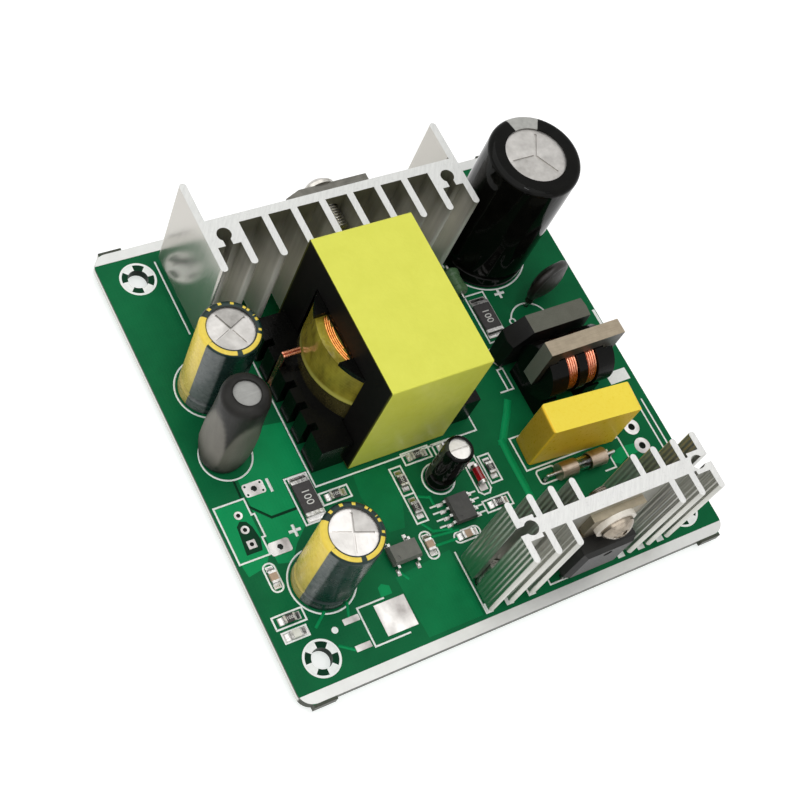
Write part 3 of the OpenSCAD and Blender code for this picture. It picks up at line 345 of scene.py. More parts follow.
def slab_mesh(name, outlines, low, high, holes=()):
    """Flat plates, open at each round hole (x, y, radius) that lies in them."""
    points, faces = [], []
    for outline in outlines:
        outline = list(outline)
        cuts = [h for h in holes if inside(outline, h[0], h[1])]
        loops = [outline] + [arc(x, y, r, 0, 345, 23) for x, y, r in cuts]
        edges = []
        for loop in loops:
            first = len(edges)
            edges += [(first + i, first + (i + 1) % len(loop)) for i in range(len(loop))]
        corners = [Vector(p) for loop in loops for p in loop]
        spots, _, fills = geometry.delaunay_2d_cdt(corners, edges, [], 1, 1e-7)[:3]
        kept = []
        for fill in fills:
            mid = sum((spots[i] for i in fill), Vector((0, 0))) / 3
            if all((mid - Vector((x, y))).length > r for x, y, r in cuts):
                kept.append(list(fill))
        n, first = len(spots), len(points)
        points += [place(*p, low) for p in spots] + [place(*p, high) for p in spots]
        faces += [[first + n + i for i in fill] for fill in kept]
        faces += [[first + i for i in reversed(fill)] for fill in kept]
        sides = {(a, b) for fill in kept for a, b in zip(fill, fill[1:] + fill[:1])}
        faces += [(first + a, first + b, first + n + b, first + n + a)
                  for a, b in sorted(sides) if (b, a) not in sides]
    return mesh_of(name, points, faces)


def sector(cx, cy, r0, r1, start, end, steps=10):
    return arc(cx, cy, r1, start, end, steps) + arc(cx, cy, r0, end, start, steps)


# Trees for lines, for repeated shapes and for wire
def make_line_tree():
    """Flat strips along the edges of a mesh."""
    tree = Tree("flat_lines", {"Line Width": "Float", "Ink Height": "Float", "Finish": "Material"})
    curve = tree.node("GeometryNodeMeshToCurve", {}, {0: tree.given("Geometry")})
    flat = tree.node("GeometryNodeSetCurveNormal", {"mode": "Z_UP"}, {"Curve": curve})
    strip = tree.node("GeometryNodeCurvePrimitiveQuadrilateral", {}, {
        "Width": tree.given("Line Width"), "Height": tree.given("Ink Height") * 2})
    tree.close(tree.node("GeometryNodeCurveToMesh", {}, {
        "Curve": flat, "Profile Curve": strip, "Fill Caps": True}))
    return tree


def make_repeat_tree():
    """One small shape at each point, turned and sized by the point's own attributes."""
    tree = Tree("repeated_shape", {"Shape": "Object", "Finish": "Material"})
    shape = tree.node("GeometryNodeObjectInfo", {}, {"Object": tree.given("Shape")}, "Geometry")
    turn = tree.node("GeometryNodeInputNamedAttribute", {"data_type": "FLOAT_VECTOR"}, {"Name": "turn"})
    size = tree.node("GeometryNodeInputNamedAttribute", {"data_type": "FLOAT_VECTOR"}, {"Name": "size"})
    tree.close(tree.node("GeometryNodeInstanceOnPoints", {}, {
        "Points": tree.given("Geometry"), "Instance": shape, "Rotation": turn, "Scale": size}))
    return tree


def make_wire_tree():
    """Round wire along the edges of a mesh."""
    tree = Tree("laid_wire", {"Wire": "Float", "Finish": "Material"})
    curve = tree.node("GeometryNodeMeshToCurve", {}, {0: tree.given("Geometry")})
    ring = tree.node("GeometryNodeCurvePrimitiveCircle", {}, {
        "Resolution": 10, "Radius": tree.given("Wire") / 2})
    wire = tree.node("GeometryNodeCurveToMesh", {}, {
        "Curve": curve, "Profile Curve": ring, "Fill Caps": True})
    tree.close(tree.node("GeometryNodeSetShadeSmooth", {}, {"Geometry": wire}))
    return tree


def repeat(name, tree, shape_mesh, spots, finish):
    """spots: place, turn about X Y Z in degrees, size"""
    shape = bpy.data.objects.new(name + "_shape", shape_mesh)
    bpy.context.scene.collection.objects.link(shape)
    points = mesh_of(name + "_points", [s[0] for s in spots])
    for label, values in (("turn", [[math.radians(a) for a in s[1]] for s in spots]),
                          ("size", [s[2] for s in spots])):
        store = points.attributes.new(label, "FLOAT_VECTOR", "POINT")
        store.data.foreach_set("vector", [c for v in values for c in v])
    made = tree.bake(name, points, Shape=shape, Finish=finish)
    bpy.data.objects.remove(shape)
    for attribute in ("turn", "size"):
        if attribute in made.data.attributes:
            made.data.attributes.remove(made.data.attributes[attribute])
    return made


# Board finishes
def green_mask(name, deep, bright):
    """Mask over copper and laminate. The sawn sides are pale under a dark line along their top; the front
    side and the hole walls are painted dark as painted shade, and the stub tops are dark."""
    f = Finish(name, Specular_IOR_Level=0.05)
    x, y, z = f.axes(f.point())
    weave, across = (f.node("ShaderNodeTexWave", {"bands_direction": direction}, {
        "Vector": f.point(), "Scale": 0.55, "Distortion": 0.6, "Detail": 1.0}) for direction in "XY")
    mask = f.blend(deep, bright, f.spread(f.noise(9, 4, 0.6), 0.1, 0.9))
    fibre = f.noise(0.5, 2, 0.6, (1, 1, 8))
    pale = f.blend((0.66, 0.66, 0.62), (0.82, 0.82, 0.78), fibre)
    dark = f.blend((0.045, 0.055, 0.040), (0.10, 0.105, 0.085), fibre)
    flat = f.step(abs(f.facing()[2]), 0.4, 0.7)
    sides = f.step((abs(x) - HALF_WIDTH).most(abs(y) - HALF_DEPTH), -1.3, -1.2)
    # The front side is painted dark: painted shade
    front = f.step(y * -1, HALF_DEPTH - 2.0, HALF_DEPTH - 1.6)
    upper = f.step(z, BOARD_TOP - 0.42, BOARD_TOP - 0.34)
    edge = f.blend(pale, dark, upper.most(flat).most(front))
    # Hole walls are near-black green: painted shade
    edge = f.blend((0.007, 0.018, 0.011), edge, sides)
    on_board = abs(y) < HALF_DEPTH + 0.02
    f.set(Base_Color=f.blend(edge, mask, flat * on_board),
          Roughness=f.spread(f.noise(1.3, 3), 0.28, 0.40))
    return f.bump(weave * across + f.noise(0.25, 2) * 0.5, 0.012).material


def print_ink():
    f = Finish("print_ink", Specular_IOR_Level=0.2)
    f.set(Base_Color=f.blend((0.93, 0.95, 0.92), (0.83, 0.86, 0.83), f.spread(f.noise(0.35, 3), 0, 1)),
          Roughness=f.spread(f.noise(0.8, 2), 0.5, 0.7))
    return f.bump(f.noise(0.12, 2), 0.006).material


def solder_tin(name, bright, lump, rough):
    """Solder that has flowed and set: a soft lumpy skin with dull flux stains."""
    f = Finish(name, Metallic=1.0)
    skin = f.noise(lump, 2, 0.45)
    stain = f.step(f.noise(lump * 0.8, 3, 0.6), 0.56, 0.70)
    metal = f.blend(dimmed(bright, 0.72), bright, f.spread(f.noise(lump * 0.6, 3), 0, 1))
    f.set(Base_Color=f.blend(metal, dimmed(bright, 0.42), stain * 0.7),
          Roughness=f.spread(f.noise(lump * 0.4, 3), rough * 0.75, rough * 1.3) + stain * 0.1)
    return f.bump(skin, lump * 0.10).material


def bare_pads():
    """Tinned copper: smooth pale strips along two edges, greyer pads on which the solder ran."""
    f = Finish("bare_pads", Metallic=1.0)
    across = f.axes(f.point())[1]
    strip = f.step(abs(across), HALF_DEPTH - 1.95, HALF_DEPTH - 1.85)
    flow = f.noise(3.2, 2, 0.4, (1.2, 0.7, 1))
    fine = f.noise(0.6, 3)
    pad = f.blend((0.27, 0.25, 0.24), (0.70, 0.68, 0.66), f.spread(flow * 0.85 + fine * 0.15, -0.25, 1.25))
    run = f.blend((0.58, 0.585, 0.565), (0.66, 0.665, 0.645), f.spread(flow * 0.6 + fine * 0.4, 0, 1))
    f.set(Base_Color=f.blend(pad, run, strip), Metallic=1 - strip * 0.55,
          Roughness=f.spread(fine, 0.38, 0.52))
    return f.bump(flow * (1 - strip) + fine * 0.05, 0.10).material


# Metal finishes
def sawn_extrusion(node, outer, inner_low_painted_light, inner_high_painted_shade, end_pale, smooth, plain, sheen,
                   rib=0.0, rib_pitch=1.0, veil=0.0, back=99.0):
    """Extruded aluminium: drawn lines up the faces, pale saw cuts across the ends; the inner faces are
    painted dark above as painted shade and pale low and in front as a painted reflection.
    Faces at the sides, and those further back than the given distance, are plain outer ones."""
    f = Finish(node + "_metal")
    low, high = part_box(node)
    nx, _, nz = f.facing()
    x, y, z = f.axes(f.point(at=middle(node)))
    half, tall = (high.x - low.x) / 2 / MM, (high.z - low.z) / 2 / MM
    cut = f.step(abs(nz), 0.5, 0.8)
    within = f.step(abs(x), half - 0.2, half - 0.4) * f.step(y, back + 0.3, back)
    drawn = f.noise(0.35, 4, 0.6, (1, 1, 0.02))
    broad = f.noise(2.2, 3, 0.5, (1, 1, 0.05))
    strokes = f.node("ShaderNodeVectorMath", {"operation": "MULTIPLY"}, {
        0: f.point(turn=math.radians(-55)), 1: Vector((0.12, 1.0, 1.0))})
    saw = f.node("ShaderNodeTexNoise", {}, {
        "Vector": strokes, "Scale": 4.0, "Detail": 3.0, "Roughness": 0.6})
    pits = f.step(f.noise(0.5, 3, 0.6), 0.60, 0.70)
    # Inner faces: painted reflected light low and in front, painted shade high and at the back
    painted_fin_shade = f.step(z + y * 0.8 + f.spread(broad, -2, 2), -0.5 * tall, 0.8 * tall)
    face = f.blend(outer, f.blend(inner_low_painted_light, inner_high_painted_shade, painted_fin_shade), within)
    streaks = f.spread(broad * 0.6 + drawn * 0.4, 0, 0.25) * within
    face = f.blend(face, dimmed(inner_high_painted_shade, 0.5), streaks)
    end = f.blend(dimmed(end_pale, 0.80), end_pale, f.spread(saw, 0, 1))
    end = f.blend(end, dimmed(end_pale, 0.70), pits * 0.5)
    dull = within * (1 - sheen) + (1 - within) * veil
    drawn_rough = f.spread(drawn, 0.9, 1.2) * (smooth * within + plain * (1 - within))
    f.set(Base_Color=f.blend(face, end, cut), Metallic=1 - cut * 0.5 - (1 - cut) * dull,
          Roughness=drawn_rough * (1 - cut) + f.spread(saw, 0.48, 0.66) * cut)
    ribs = (y * (2 * math.pi / rib_pitch)).sine() * abs(nx) * rib
    return f.bump((ribs + drawn * within * 0.04) * (1 - cut) + saw * cut * 0.5, 0.05).material


def plated_tab(name, pale, deep):
    f = Finish(name, Metallic=1.0)
    brushed = f.noise(0.3, 4, 0.6, (0.06, 1, 1))
    f.set(Base_Color=f.blend(deep, pale, f.spread(f.noise(1.6, 3) * 0.6 + brushed * 0.4, 0, 1)),
          Roughness=f.spread(brushed, 0.28, 0.46))
    return f.bump(brushed, 0.02).material


def screw_steel(node, thread_pitch, deep, pale):
    """Plated steel, with a thread wherever the shank's own radius shows."""
    f = Finish("screw_steel_" + node, Metallic=1.0)
    mid = middle(node)
    x, y, z = f.axes(f.point(at=mid))
    radius = (x * x + z * z) ** 0.5
    shank = f.step(radius, 1.62, 1.52)
    turn = f.math("ARCTAN2", z, x)
    thread = ((y * (2 * math.pi / thread_pitch)) + turn).sine() * shank
    worn = f.noise(0.9, 2)
    f.set(Base_Color=f.blend(deep, pale, f.spread(worn, 0, 1)),
          Roughness=f.spread(worn, 0.2, 0.32))
    return f.bump(thread * 0.5 + worn * 0.02, 0.28).material


def can_metal(name, cans):
    """Bare can tops whose scored sectors each have their own slight tilt and their own painted shade,
    standing for the different light each sector reflects.
    """
    f = Finish(name, Metallic=1.0)
    roof, shade = None, None
    for mid, reach, turn, sector_painted_shades in cans:
        x, y, _ = f.axes(f.point(at=mid, turn=-math.radians(turn)))
        near = (x * x + y * y) < reach * reach
        sides = [x * math.cos(a) + y * math.sin(a)
                 for a in (2 * math.pi * (i + 0.5) / len(sector_painted_shades) for i in range(len(sector_painted_shades)))]
        slope = sides[0]
        for side in sides[1:]:
            slope = slope.most(side)
        # Each sector's tone is a painted reflection shade
        tone = sum((side > slope - 0.0001) * value for side, value in zip(sides, sector_painted_shades))
        roof = slope * near if roof is None else roof + slope * near
        shade = tone * near if shade is None else shade + tone * near
    fine = f.noise(0.5, 3)
    soft = f.noise(1.8, 2)
    tone = f.spread(soft * 0.7 + fine * 0.3, -0.16, 0.16) + shade
    f.set(Base_Color=f.blend((0.20, 0.192, 0.178), (0.80, 0.775, 0.745), tone),
          Roughness=f.spread(fine, 0.36, 0.5))
    return f.bump(roof * -0.05 + fine * 0.03, 1.0).material


def copper(name, deep, pale):
    """Enamelled wire."""
    f = Finish(name, Metallic=1.0, Coat_Weight=0.6, Coat_Roughness=0.1, Coat_Tint=(1.0, 0.86, 0.72, 1))
    f.set(Base_Color=f.blend(deep, pale, f.spread(f.noise(0.7, 3), 0, 1)),
          Roughness=f.spread(f.noise(0.4, 2), 0.22, 0.36))
    return f.bump(f.noise(0.15, 2), 0.01).material


# Plastic, tape and ceramic finishes
def tape_film(name, pale, deep, rough, shine):
    """Film tape with soft creases; its cut edges, which look sideways, are painted dark as painted shade.
    """
    f = Finish(name, Specular_IOR_Level=shine)
    soft = f.noise(4.5, 3, 0.5)
    crease = f.noise(1.1, 4, 0.6)
    film = f.blend(pale, deep, f.spread(soft * 0.7 + crease * 0.3, 0, 0.8))
    # Faces looking along X are painted dark: painted shade
    painted_shade_sideways = f.step(abs(f.facing()[0]), 0.7, 0.8)
    f.set(Base_Color=f.blend(film, dimmed(deep, 0.1), painted_shade_sideways),
          Roughness=f.spread(crease, rough * 0.8, rough * 1.25))
    return f.bump(soft * 0.6 + crease * 0.25, 0.16).material


def winding_wrap(low, high):
    """Clear tape over wire: cloudy turns above, an overlapped edge whose lip carries a painted highlight,
    and a skirt below painted dark as painted shade.
    """
    f = Finish("winding_wrap", Specular_IOR_Level=0.5)
    core = middle("transformer_core")
    x, y, z = f.axes(f.point(at=(core.x, core.y, 0)))
    turn = f.math("ARCTAN2", y * -1.0, x * -1.0)
    rise = (z - low) / (high - low) - turn * 0.16
    lap = f.step(rise, 0.22, 0.25)
    # The lap's lip is a real overlapped edge; its pale colour is a painted highlight
    highlit_lip = f.step(rise, 0.20, 0.24) * f.step(rise, 0.36, 0.28)
    cloud = f.noise(3.0, 4, 0.6, (1, 1, 0.4))
    strands = (z * 9.0 + cloud * 6.0).sine() * 0.5 + 0.5
    mottle = f.spread(cloud * 0.97 + strands * 0.03, -0.1, 1.1)
    wrap = f.blend((0.125, 0.092, 0.008), (0.44, 0.375, 0.040), mottle)
    wrap = f.blend(wrap, (0.66, 0.61, 0.13), highlit_lip * 0.8)
    # The skirt below the lap is painted dark: painted shade
    shaded_skirt = f.blend((0.018, 0.015, 0.004), (0.080, 0.066, 0.018), f.spread(cloud, 0, 1))
    f.set(Base_Color=f.blend(shaded_skirt, wrap, lap), Roughness=f.spread(cloud, 0.16, 0.30))
    return f.bump(cloud + strands * 0.01 + lap * 0.5, 0.3).material


def moulded(name, deep, pale, rough, shine=0.2, grain=0.16, depth=0.012, top=None, left=None):
    """Fine-grained moulded plastic; if given, faces that look up take a paler colour as painted light and
    faces that look left a darker one as painted shade.
    """
    f = Finish(name, Specular_IOR_Level=shine)
    cloud = f.noise(2.4, 3)
    skin = f.noise(grain, 3, 0.6)
    colour = f.blend(deep, pale, f.spread(cloud * 0.6 + skin * 0.4, 0, 1))
    # top: painted light on faces looking up; left: painted shade on faces looking left
    for pair, axis, start, full in ((top, 2, 0.85, 0.95), (left, 0, -0.7, -0.9)):
        if pair:
            fleck = f.spread(cloud * 0.4 + skin * 0.6, 0, 1)
            colour = f.blend(colour, f.blend(*pair, fleck), f.step(f.facing()[axis], start, full))
    f.set(Base_Color=colour, Roughness=f.spread(skin, rough * 0.82, rough * 1.2))
    return f.bump(skin, depth).material


def ground_ferrite(name, deep, pale, rough, shine=0.25, side=None, left=None):
    """Pressed ferrite with fine grinding lines along X, on its upper faces only if its sides differ.
    Such sides are dark, partly as unground ferrite and partly as painted shade; those looking left are
    paler as a painted reflection.
    """
    f = Finish(name, Specular_IOR_Level=shine)
    lines = f.noise(0.14, 4, 0.65, (0.05, 1, 1))
    cloud = f.noise(1.5, 3)
    pits = f.step(f.noise(0.3, 2, 0.5), 0.66, 0.74)
    colour = f.blend(f.blend(deep, pale, f.spread(cloud * 0.5 + lines * 0.5, 0, 1)), deep, pits)
    if side:
        nx, _, nz = f.facing()
        # Sides: partly unground ferrite, partly painted shade; faces looking left: painted reflection of
        # the board
        plain = f.blend(side, left, f.step(nx, -0.45, -0.6))
        colour = f.blend(f.blend(plain, deep, f.spread(cloud, 0, 0.12)), colour, f.step(nz, 0.6, 0.85))
    f.set(Base_Color=colour, Roughness=f.spread(lines, rough * 0.8, rough * 1.25))
    return f.bump(lines - pits * 0.5, 0.02).material


def black_sleeve(name, mid, stripe_at, stripe_half, top, stripe_deep, stripe_pale, bar_pitch=7.0):
    """Glossy black film round a can, with one paler stripe up the side and over the shoulder,
    and dark bars up the middle of the stripe."""
    f = Finish(name, Specular_IOR_Level=0.08)
    x, y, z = f.axes(f.point(at=mid))
    r = (x * x + y * y) ** 0.5
    a = math.radians(stripe_at)
    along = (x * math.cos(a) + y * math.sin(a)) / r
    stripe = f.step(along, cosine(stripe_half), cosine(stripe_half - 1.5))
    inner = f.step(along, cosine(stripe_half * 0.42), cosine(stripe_half * 0.36))
    bars = f.step((z * (2 * math.pi / bar_pitch)).sine(), 0.55, 0.62) * inner * (z < top - 2.5)
    film = f.blend((0.0020, 0.0022, 0.0018), (0.005, 0.005, 0.004), f.spread(f.noise(2.5, 3), 0, 1))
    grey = f.blend(stripe_deep, stripe_pale, f.spread(f.noise(1.2, 3), 0, 1))
    f.set(Base_Color=f.blend(film, grey, stripe * (1 - bars)),
          Roughness=f.spread(f.noise(1.5, 3), 0.05, 0.10))
    return f.bump(f.noise(3.0, 3, 0.5, (1, 1, 0.3)) + f.noise(0.3, 2) * 0.03, 0.10).material


def green_sleeve(mids, painted_sheens, radius, top):
    """Dark green film with a gold stripe, a grey painted reflection beside it and a gold ring round the
    shoulder.
    """
    f = Finish("green_sleeve", Specular_IOR_Level=0.25)
    masks = {}
    for mid, (painted_sheen_at, painted_sheen_half) in zip(mids, painted_sheens):
        x, y, z = f.axes(f.point(at=mid))
        r = (x * x + y * y) ** 0.5
        near = r < radius + 0.4

        def beside(degrees, half, soft=2.0):
            a = math.radians(degrees)
            along = (x * math.cos(a) + y * math.sin(a)) / r
            return f.step(along, cosine(half + soft), cosine(half))

        turn = f.math("ARCTAN2", y, x)
        shoulder = f.step(z, top - 0.55, top - 0.4)
        front = beside(268, 68)
        ring = f.step(r, radius - 1.02, radius - 0.94) * f.step(r, radius - 0.26, radius - 0.34)
        gaps = f.step((turn * 5.0 + 0.6).sine(), -0.93, -0.85)
        dashes = f.step((turn * 13.0).sine() + (turn * 29.0).sine() * 0.7, 0.35, 0.5) * \
            f.step(r, radius - 0.85, radius - 0.78)
        found = {"stripe": beside(167, 30, 1.0),
                 # sheen: a grey painted reflection on the wall
                 "sheen": beside(painted_sheen_at, painted_sheen_half, 6.0) * (1 - shoulder),
                 "ring": shoulder * ring * (front * gaps + (1 - front) * dashes),
                 "rim": f.step(r, radius - 1.0, radius - 1.06)}
        for label, share in found.items():
            masks[label] = share * near if label not in masks else masks[label] + share * near
    # The stripe is paler and duller towards the bottom
    fall = f.step(f.axes(f.point(at=mids[0]))[2], -top, top * 0.9)
    worn = f.spread(f.noise(0.9, 3), 0, 1)
    film = f.blend((0.004, 0.016, 0.013), (0.009, 0.032, 0.026), f.spread(f.noise(2.0, 3), 0, 1))
    bright = f.blend((0.76, 0.57, 0.07), (0.88, 0.68, 0.10), worn)
    stripe_low_gold = f.blend((0.40, 0.33, 0.085), (0.54, 0.45, 0.13), worn)
    grey = f.blend((0.085, 0.10, 0.10), (0.15, 0.165, 0.16), worn)
    colour = f.blend(film, grey, masks["sheen"])
    colour = f.blend(colour, f.blend(stripe_low_gold, bright, fall), masks["stripe"])
    colour = f.blend(colour, bright, masks["ring"])
    colour = f.blend(colour, (0.004, 0.008, 0.007), masks["rim"] * 0.85)
    f.set(Base_Color=colour, Roughness=f.spread(f.noise(1.5, 3), 0.22, 0.34))
    return f.bump(f.noise(2.5, 3, 0.5, (1, 1, 0.3)) + f.noise(0.3, 2) * 0.08, 0.10).material


def shrink_sleeve():
    """Shrunk tube: a dark satin collar; its flattened sides are paler from a painted sheen."""
    f = Finish("shrink_sleeve", Specular_IOR_Level=0.14)
    flat_side = f.node("ShaderNodeAttribute", {"attribute_name": "flat_side"}, out=2)
    folds = f.noise(2.6, 3, 0.5, (1, 1, 0.25))
    skin = f.noise(0.2, 3)
    dark = f.blend((0.008, 0.008, 0.007), (0.020, 0.019, 0.017), f.spread(folds, 0, 1))
    painted_facet_sheen = f.blend((0.112, 0.105, 0.088), (0.180, 0.169, 0.144), f.spread(folds * 0.7 + skin * 0.3, 0, 1))
    upper = f.step(f.axes(f.point())[2], BOARD_TOP - 1, BOARD_TOP + 7)
    f.set(Base_Color=f.blend(dark, painted_facet_sheen, flat_side * upper), Roughness=f.spread(skin, 0.34, 0.5))
    return f.bump(folds + skin * 0.06, 0.22).material


def glass(name, tint, clear):
    f = Finish(name, Transmission_Weight=clear, IOR=1.5, Coat_Weight=0.2)
    f.set(Base_Color=f.blend(tint, dimmed(tint, 0.85), f.spread(f.noise(1.5, 2), 0, 1)),
          Roughness=f.spread(f.noise(0.7, 2), 0.01, 0.08))
    return f.bump(f.noise(1.4, 2), 0.02).material


def chip_body(name, deep, pale, rough):
    f = Finish(name, Specular_IOR_Level=0.22)
    grain = f.noise(0.12, 3)
    f.set(Base_Color=f.blend(deep, pale, f.spread(grain * 0.5 + f.noise(0.9, 2) * 0.5, 0, 1)),
          Roughness=f.spread(grain, rough * 0.8, rough * 1.2))
    return f.bump(grain, 0.008).material


# Every CAD node's finish
tin = solder_tin("tin", (0.56, 0.55, 0.53), 0.6, 0.3)
mask = green_mask("solder_mask", (0.004, 0.094, 0.034), (0.006, 0.152, 0.051))
# Lighter green for copper under the mask, made lighter still by painted glare
pour_mask = green_mask("pour_mask", (0.004, 0.225, 0.070), (0.007, 0.315, 0.105))
soft_pour = green_mask("soft_pour", (0.004, 0.125, 0.042), (0.006, 0.205, 0.068))
groove_mask = green_mask("groove_mask", (0.002, 0.022, 0.010), (0.004, 0.050, 0.020))
black_epoxy = moulded("black_epoxy", (0.010, 0.010, 0.010), (0.026, 0.026, 0.024), 0.42)
bobbin_black = moulded("bobbin_black", (0.002, 0.002, 0.002), (0.005, 0.005, 0.004), 0.2, 0.1, 0.5, 0.02)
wire_copper = copper("wire_copper", (0.50, 0.165, 0.095), (0.82, 0.40, 0.27))
taped_copper = copper("taped_copper", (0.55, 0.20, 0.035), (0.90, 0.46, 0.12))


def half_height(node):
    low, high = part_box(node)
    return (high.z - low.z) / 2 / MM


bulk_mid = middle("bulk_cap_sleeve")
small_mid = middle("small_cap_sleeve")
output_z = middle("output_cap_sleeves").z
output_mids = [Vector((*place(x, y).xy, output_z)) for x, y in OUTPUT_CAPS]
output_radius = 5.0
rear_web_back = place(0, 71.1).y

FINISHES = {
    "pcb": mask,
    "solder_pads": bare_pads(),
    "rear_heatsink": sawn_extrusion(
        "rear_heatsink", outer=(0.53, 0.51, 0.47), inner_low_painted_light=(0.99, 0.96, 0.88),
        inner_high_painted_shade=(0.17, 0.165, 0.118), end_pale=(0.66, 0.665, 0.645), smooth=0.36, plain=0.2, sheen=0.36,
        veil=0.13, back=(rear_web_back - middle("rear_heatsink").y) / MM),
    "front_heatsink": sawn_extrusion(
        "front_heatsink", outer=(0.50, 0.50, 0.46), inner_low_painted_light=(0.66, 0.66, 0.61),
        inner_high_painted_shade=(0.52, 0.52, 0.48), end_pale=(0.72, 0.72, 0.70), smooth=0.3, plain=0.3, sheen=0.9,
        rib=1.0, rib_pitch=0.78),
    "rear_device_tab": plated_tab("rear_tab_metal", (0.17, 0.165, 0.145), (0.075, 0.072, 0.062)),
    "front_device_tab": plated_tab("front_tab_metal", (0.33, 0.285, 0.205), (0.19, 0.165, 0.12)),
    "rear_device_body": black_epoxy,
    "front_device_body": black_epoxy,
    "rear_screw": screw_steel("rear_screw", 0.5, (0.30, 0.285, 0.255), (0.56, 0.54, 0.50)),
    "front_screw": screw_steel("front_screw", 0.5, (0.23, 0.195, 0.155), (0.36, 0.31, 0.25)),
    "front_bush": moulded("bush_plastic", (0.66, 0.61, 0.53), (0.80, 0.755, 0.67), 0.35, 0.3, 0.6, 0.03),
    "transformer_core": ground_ferrite("core_ferrite", (0.003, 0.003, 0.003), (0.009, 0.008, 0.007),
                                       0.42, 0.06),
    "transformer_tape": tape_film("yellow_tape", (0.77, 0.78, 0.11), (0.69, 0.70, 0.085), 0.34, 0.25),
    "transformer_bobbin": bobbin_black,
    "transformer_winding": winding_wrap(*(c.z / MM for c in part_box("transformer_winding"))),
    "transformer_wires": wire_copper,
    # The last numbers of each can are painted reflection shades, one per sector
    "bulk_cap_can": can_metal("bulk_can_metal", [(bulk_mid, 5.4, 60, (0.36, 0.24, 0.40))]),
    "bulk_cap_sleeve": black_sleeve("bulk_sleeve", bulk_mid, 80, 23, half_height("bulk_cap_sleeve"),
                                    (0.36, 0.36, 0.34), (0.50, 0.50, 0.47)),
    "output_cap_cans": can_metal("output_can_metal", [
        (output_mids[0], 3.8, 24, (0.16, 0.36, 0.22, 0.40)),
        (output_mids[1], 3.8, -20, (0.34, 0.62, 0.42, 0.66))]),
    # Each pair places one can's painted reflection: centre angle and half width
    "output_cap_sleeves": green_sleeve(output_mids, ((216, 17), (206, 8)), output_radius,
                                       half_height("output_cap_sleeves")),
    "small_cap_can": can_metal("small_can_metal", [(small_mid, 1.9, 0, (0.62, 0.72))]),
    "small_cap_sleeve": black_sleeve("small_sleeve", small_mid, 150, 24, half_height("small_cap_sleeve"),
                                     (0.030, 0.036, 0.030), (0.062, 0.070, 0.058)),
    "inductor_core": ground_ferrite("coil_core", (0.27, 0.27, 0.255), (0.44, 0.44, 0.42), 0.5),
    "inductor_sleeve": shrink_sleeve(),
    # The top colours are painted light and the left colours painted shade
    "film_cap_body": moulded("film_yellow", (0.93, 0.57, 0.028), (0.98, 0.65, 0.045), 0.3, 0.2, 0.5, 0.012,
                             top=((0.92, 0.71, 0.062), (0.96, 0.775, 0.088)),
                             left=((0.46, 0.29, 0.020), (0.56, 0.37, 0.030))),
    # Dark sides are partly painted shade; the paler left colour is a painted reflection of the board
    "choke_core": ground_ferrite("loop_ferrite", (0.26, 0.21, 0.145), (0.46, 0.38, 0.27), 0.34, 0.4,
                                 (0.006, 0.006, 0.005), (0.16, 0.17, 0.14)),
    "choke_bobbin": bobbin_black,
    "choke_windings": wire_copper,
    # The paler top is a painted reflection
    "bridge_body": moulded("bridge_epoxy", (0.004, 0.004, 0.004), (0.010, 0.010, 0.009), 0.4,
                           top=((0.08, 0.08, 0.062), (0.135, 0.137, 0.108))),
    "thermistor_disc": moulded("disc_coat", (0.003, 0.003, 0.002), (0.014, 0.011, 0.008),
                               0.45, 0.35, 0.7, 0.03),
    "axial_resistor_body": moulded("resistor_coat", (0.050, 0.115, 0.050), (0.105, 0.19, 0.09),
                                   0.25, 0.3, 0.4, 0.02),
    "fuse_glass": glass("clear_glass", (0.94, 0.96, 0.94), 1.0),
    "fuse_caps": plated_tab("fuse_cap_metal", (0.58, 0.50, 0.41), (0.28, 0.19, 0.125)),
    "diode_glass": glass("red_glass", (0.62, 0.02, 0.03), 0.55),
    "control_chip_body": chip_body("chip_epoxy", (0.050, 0.050, 0.047), (0.085, 0.084, 0.079), 0.42),
    "coupler_body": chip_body("coupler_epoxy", (0.11, 0.11, 0.10), (0.17, 0.172, 0.15), 0.42),
    "chip_resistors": chip_body("chip_black", (0.040, 0.037, 0.037), (0.075, 0.070, 0.070), 0.36),
    "chip_capacitors": chip_body("chip_tan", (0.36, 0.25, 0.17), (0.50, 0.37, 0.27), 0.38),
    "status_light": chip_body("light_lens", (0.66, 0.66, 0.58), (0.80, 0.80, 0.72), 0.25),
}
for name, node in nodes.items():
    node.data.materials.clear()
    node.data.materials.append(FINISHES.get(name, tin))

ink = print_ink()
digit_ink = moulded("digit_ink", (0.62, 0.62, 0.58), (0.76, 0.76, 0.72), 0.5)

line_tree = make_line_tree()
repeat_tree = make_repeat_tree()
wire_tree = make_wire_tree()

# Chip parts on the board: place and turn
SMALL_CHIPS = [(36.3, 31.2, 0), (42.2, 31, 0), (31.7, 27.9, 90), (31.7, 22.8, 90), (20.1, 29.5, 0),
               (47.4, 24.8, 90), (45.6, 18.8, 0), (4, 13.5, 0)]
LARGE_CHIPS = [(61.4, 50.8, 90), (15.4, 30.6, 90)]
CHIP_CAPS = [(30.8, 16.3, 90), (4.6, 20.4, 90), (37.8, 15.7, 0)]
STATUS_LIGHT = (3.9, 10.9, 0)


def round_box(cx, cy, half_x, half_y, r):
    path = []
    for sx, sy, start in ((1, 1, 0), (-1, 1, 90), (-1, -1, 180), (1, -1, 270)):
        path += arc(cx + sx * (half_x - r), cy + sy * (half_y - r), r, start, start + 90, 6)
    return path + path[:1]


def laid_lines(name, paths, width, height, finish):
    made = line_tree.bake(name, paths_mesh(name, paths, width), Line_Width=width * MM,
                          Ink_Height=height * MM, Finish=finish)
    return ride(made)


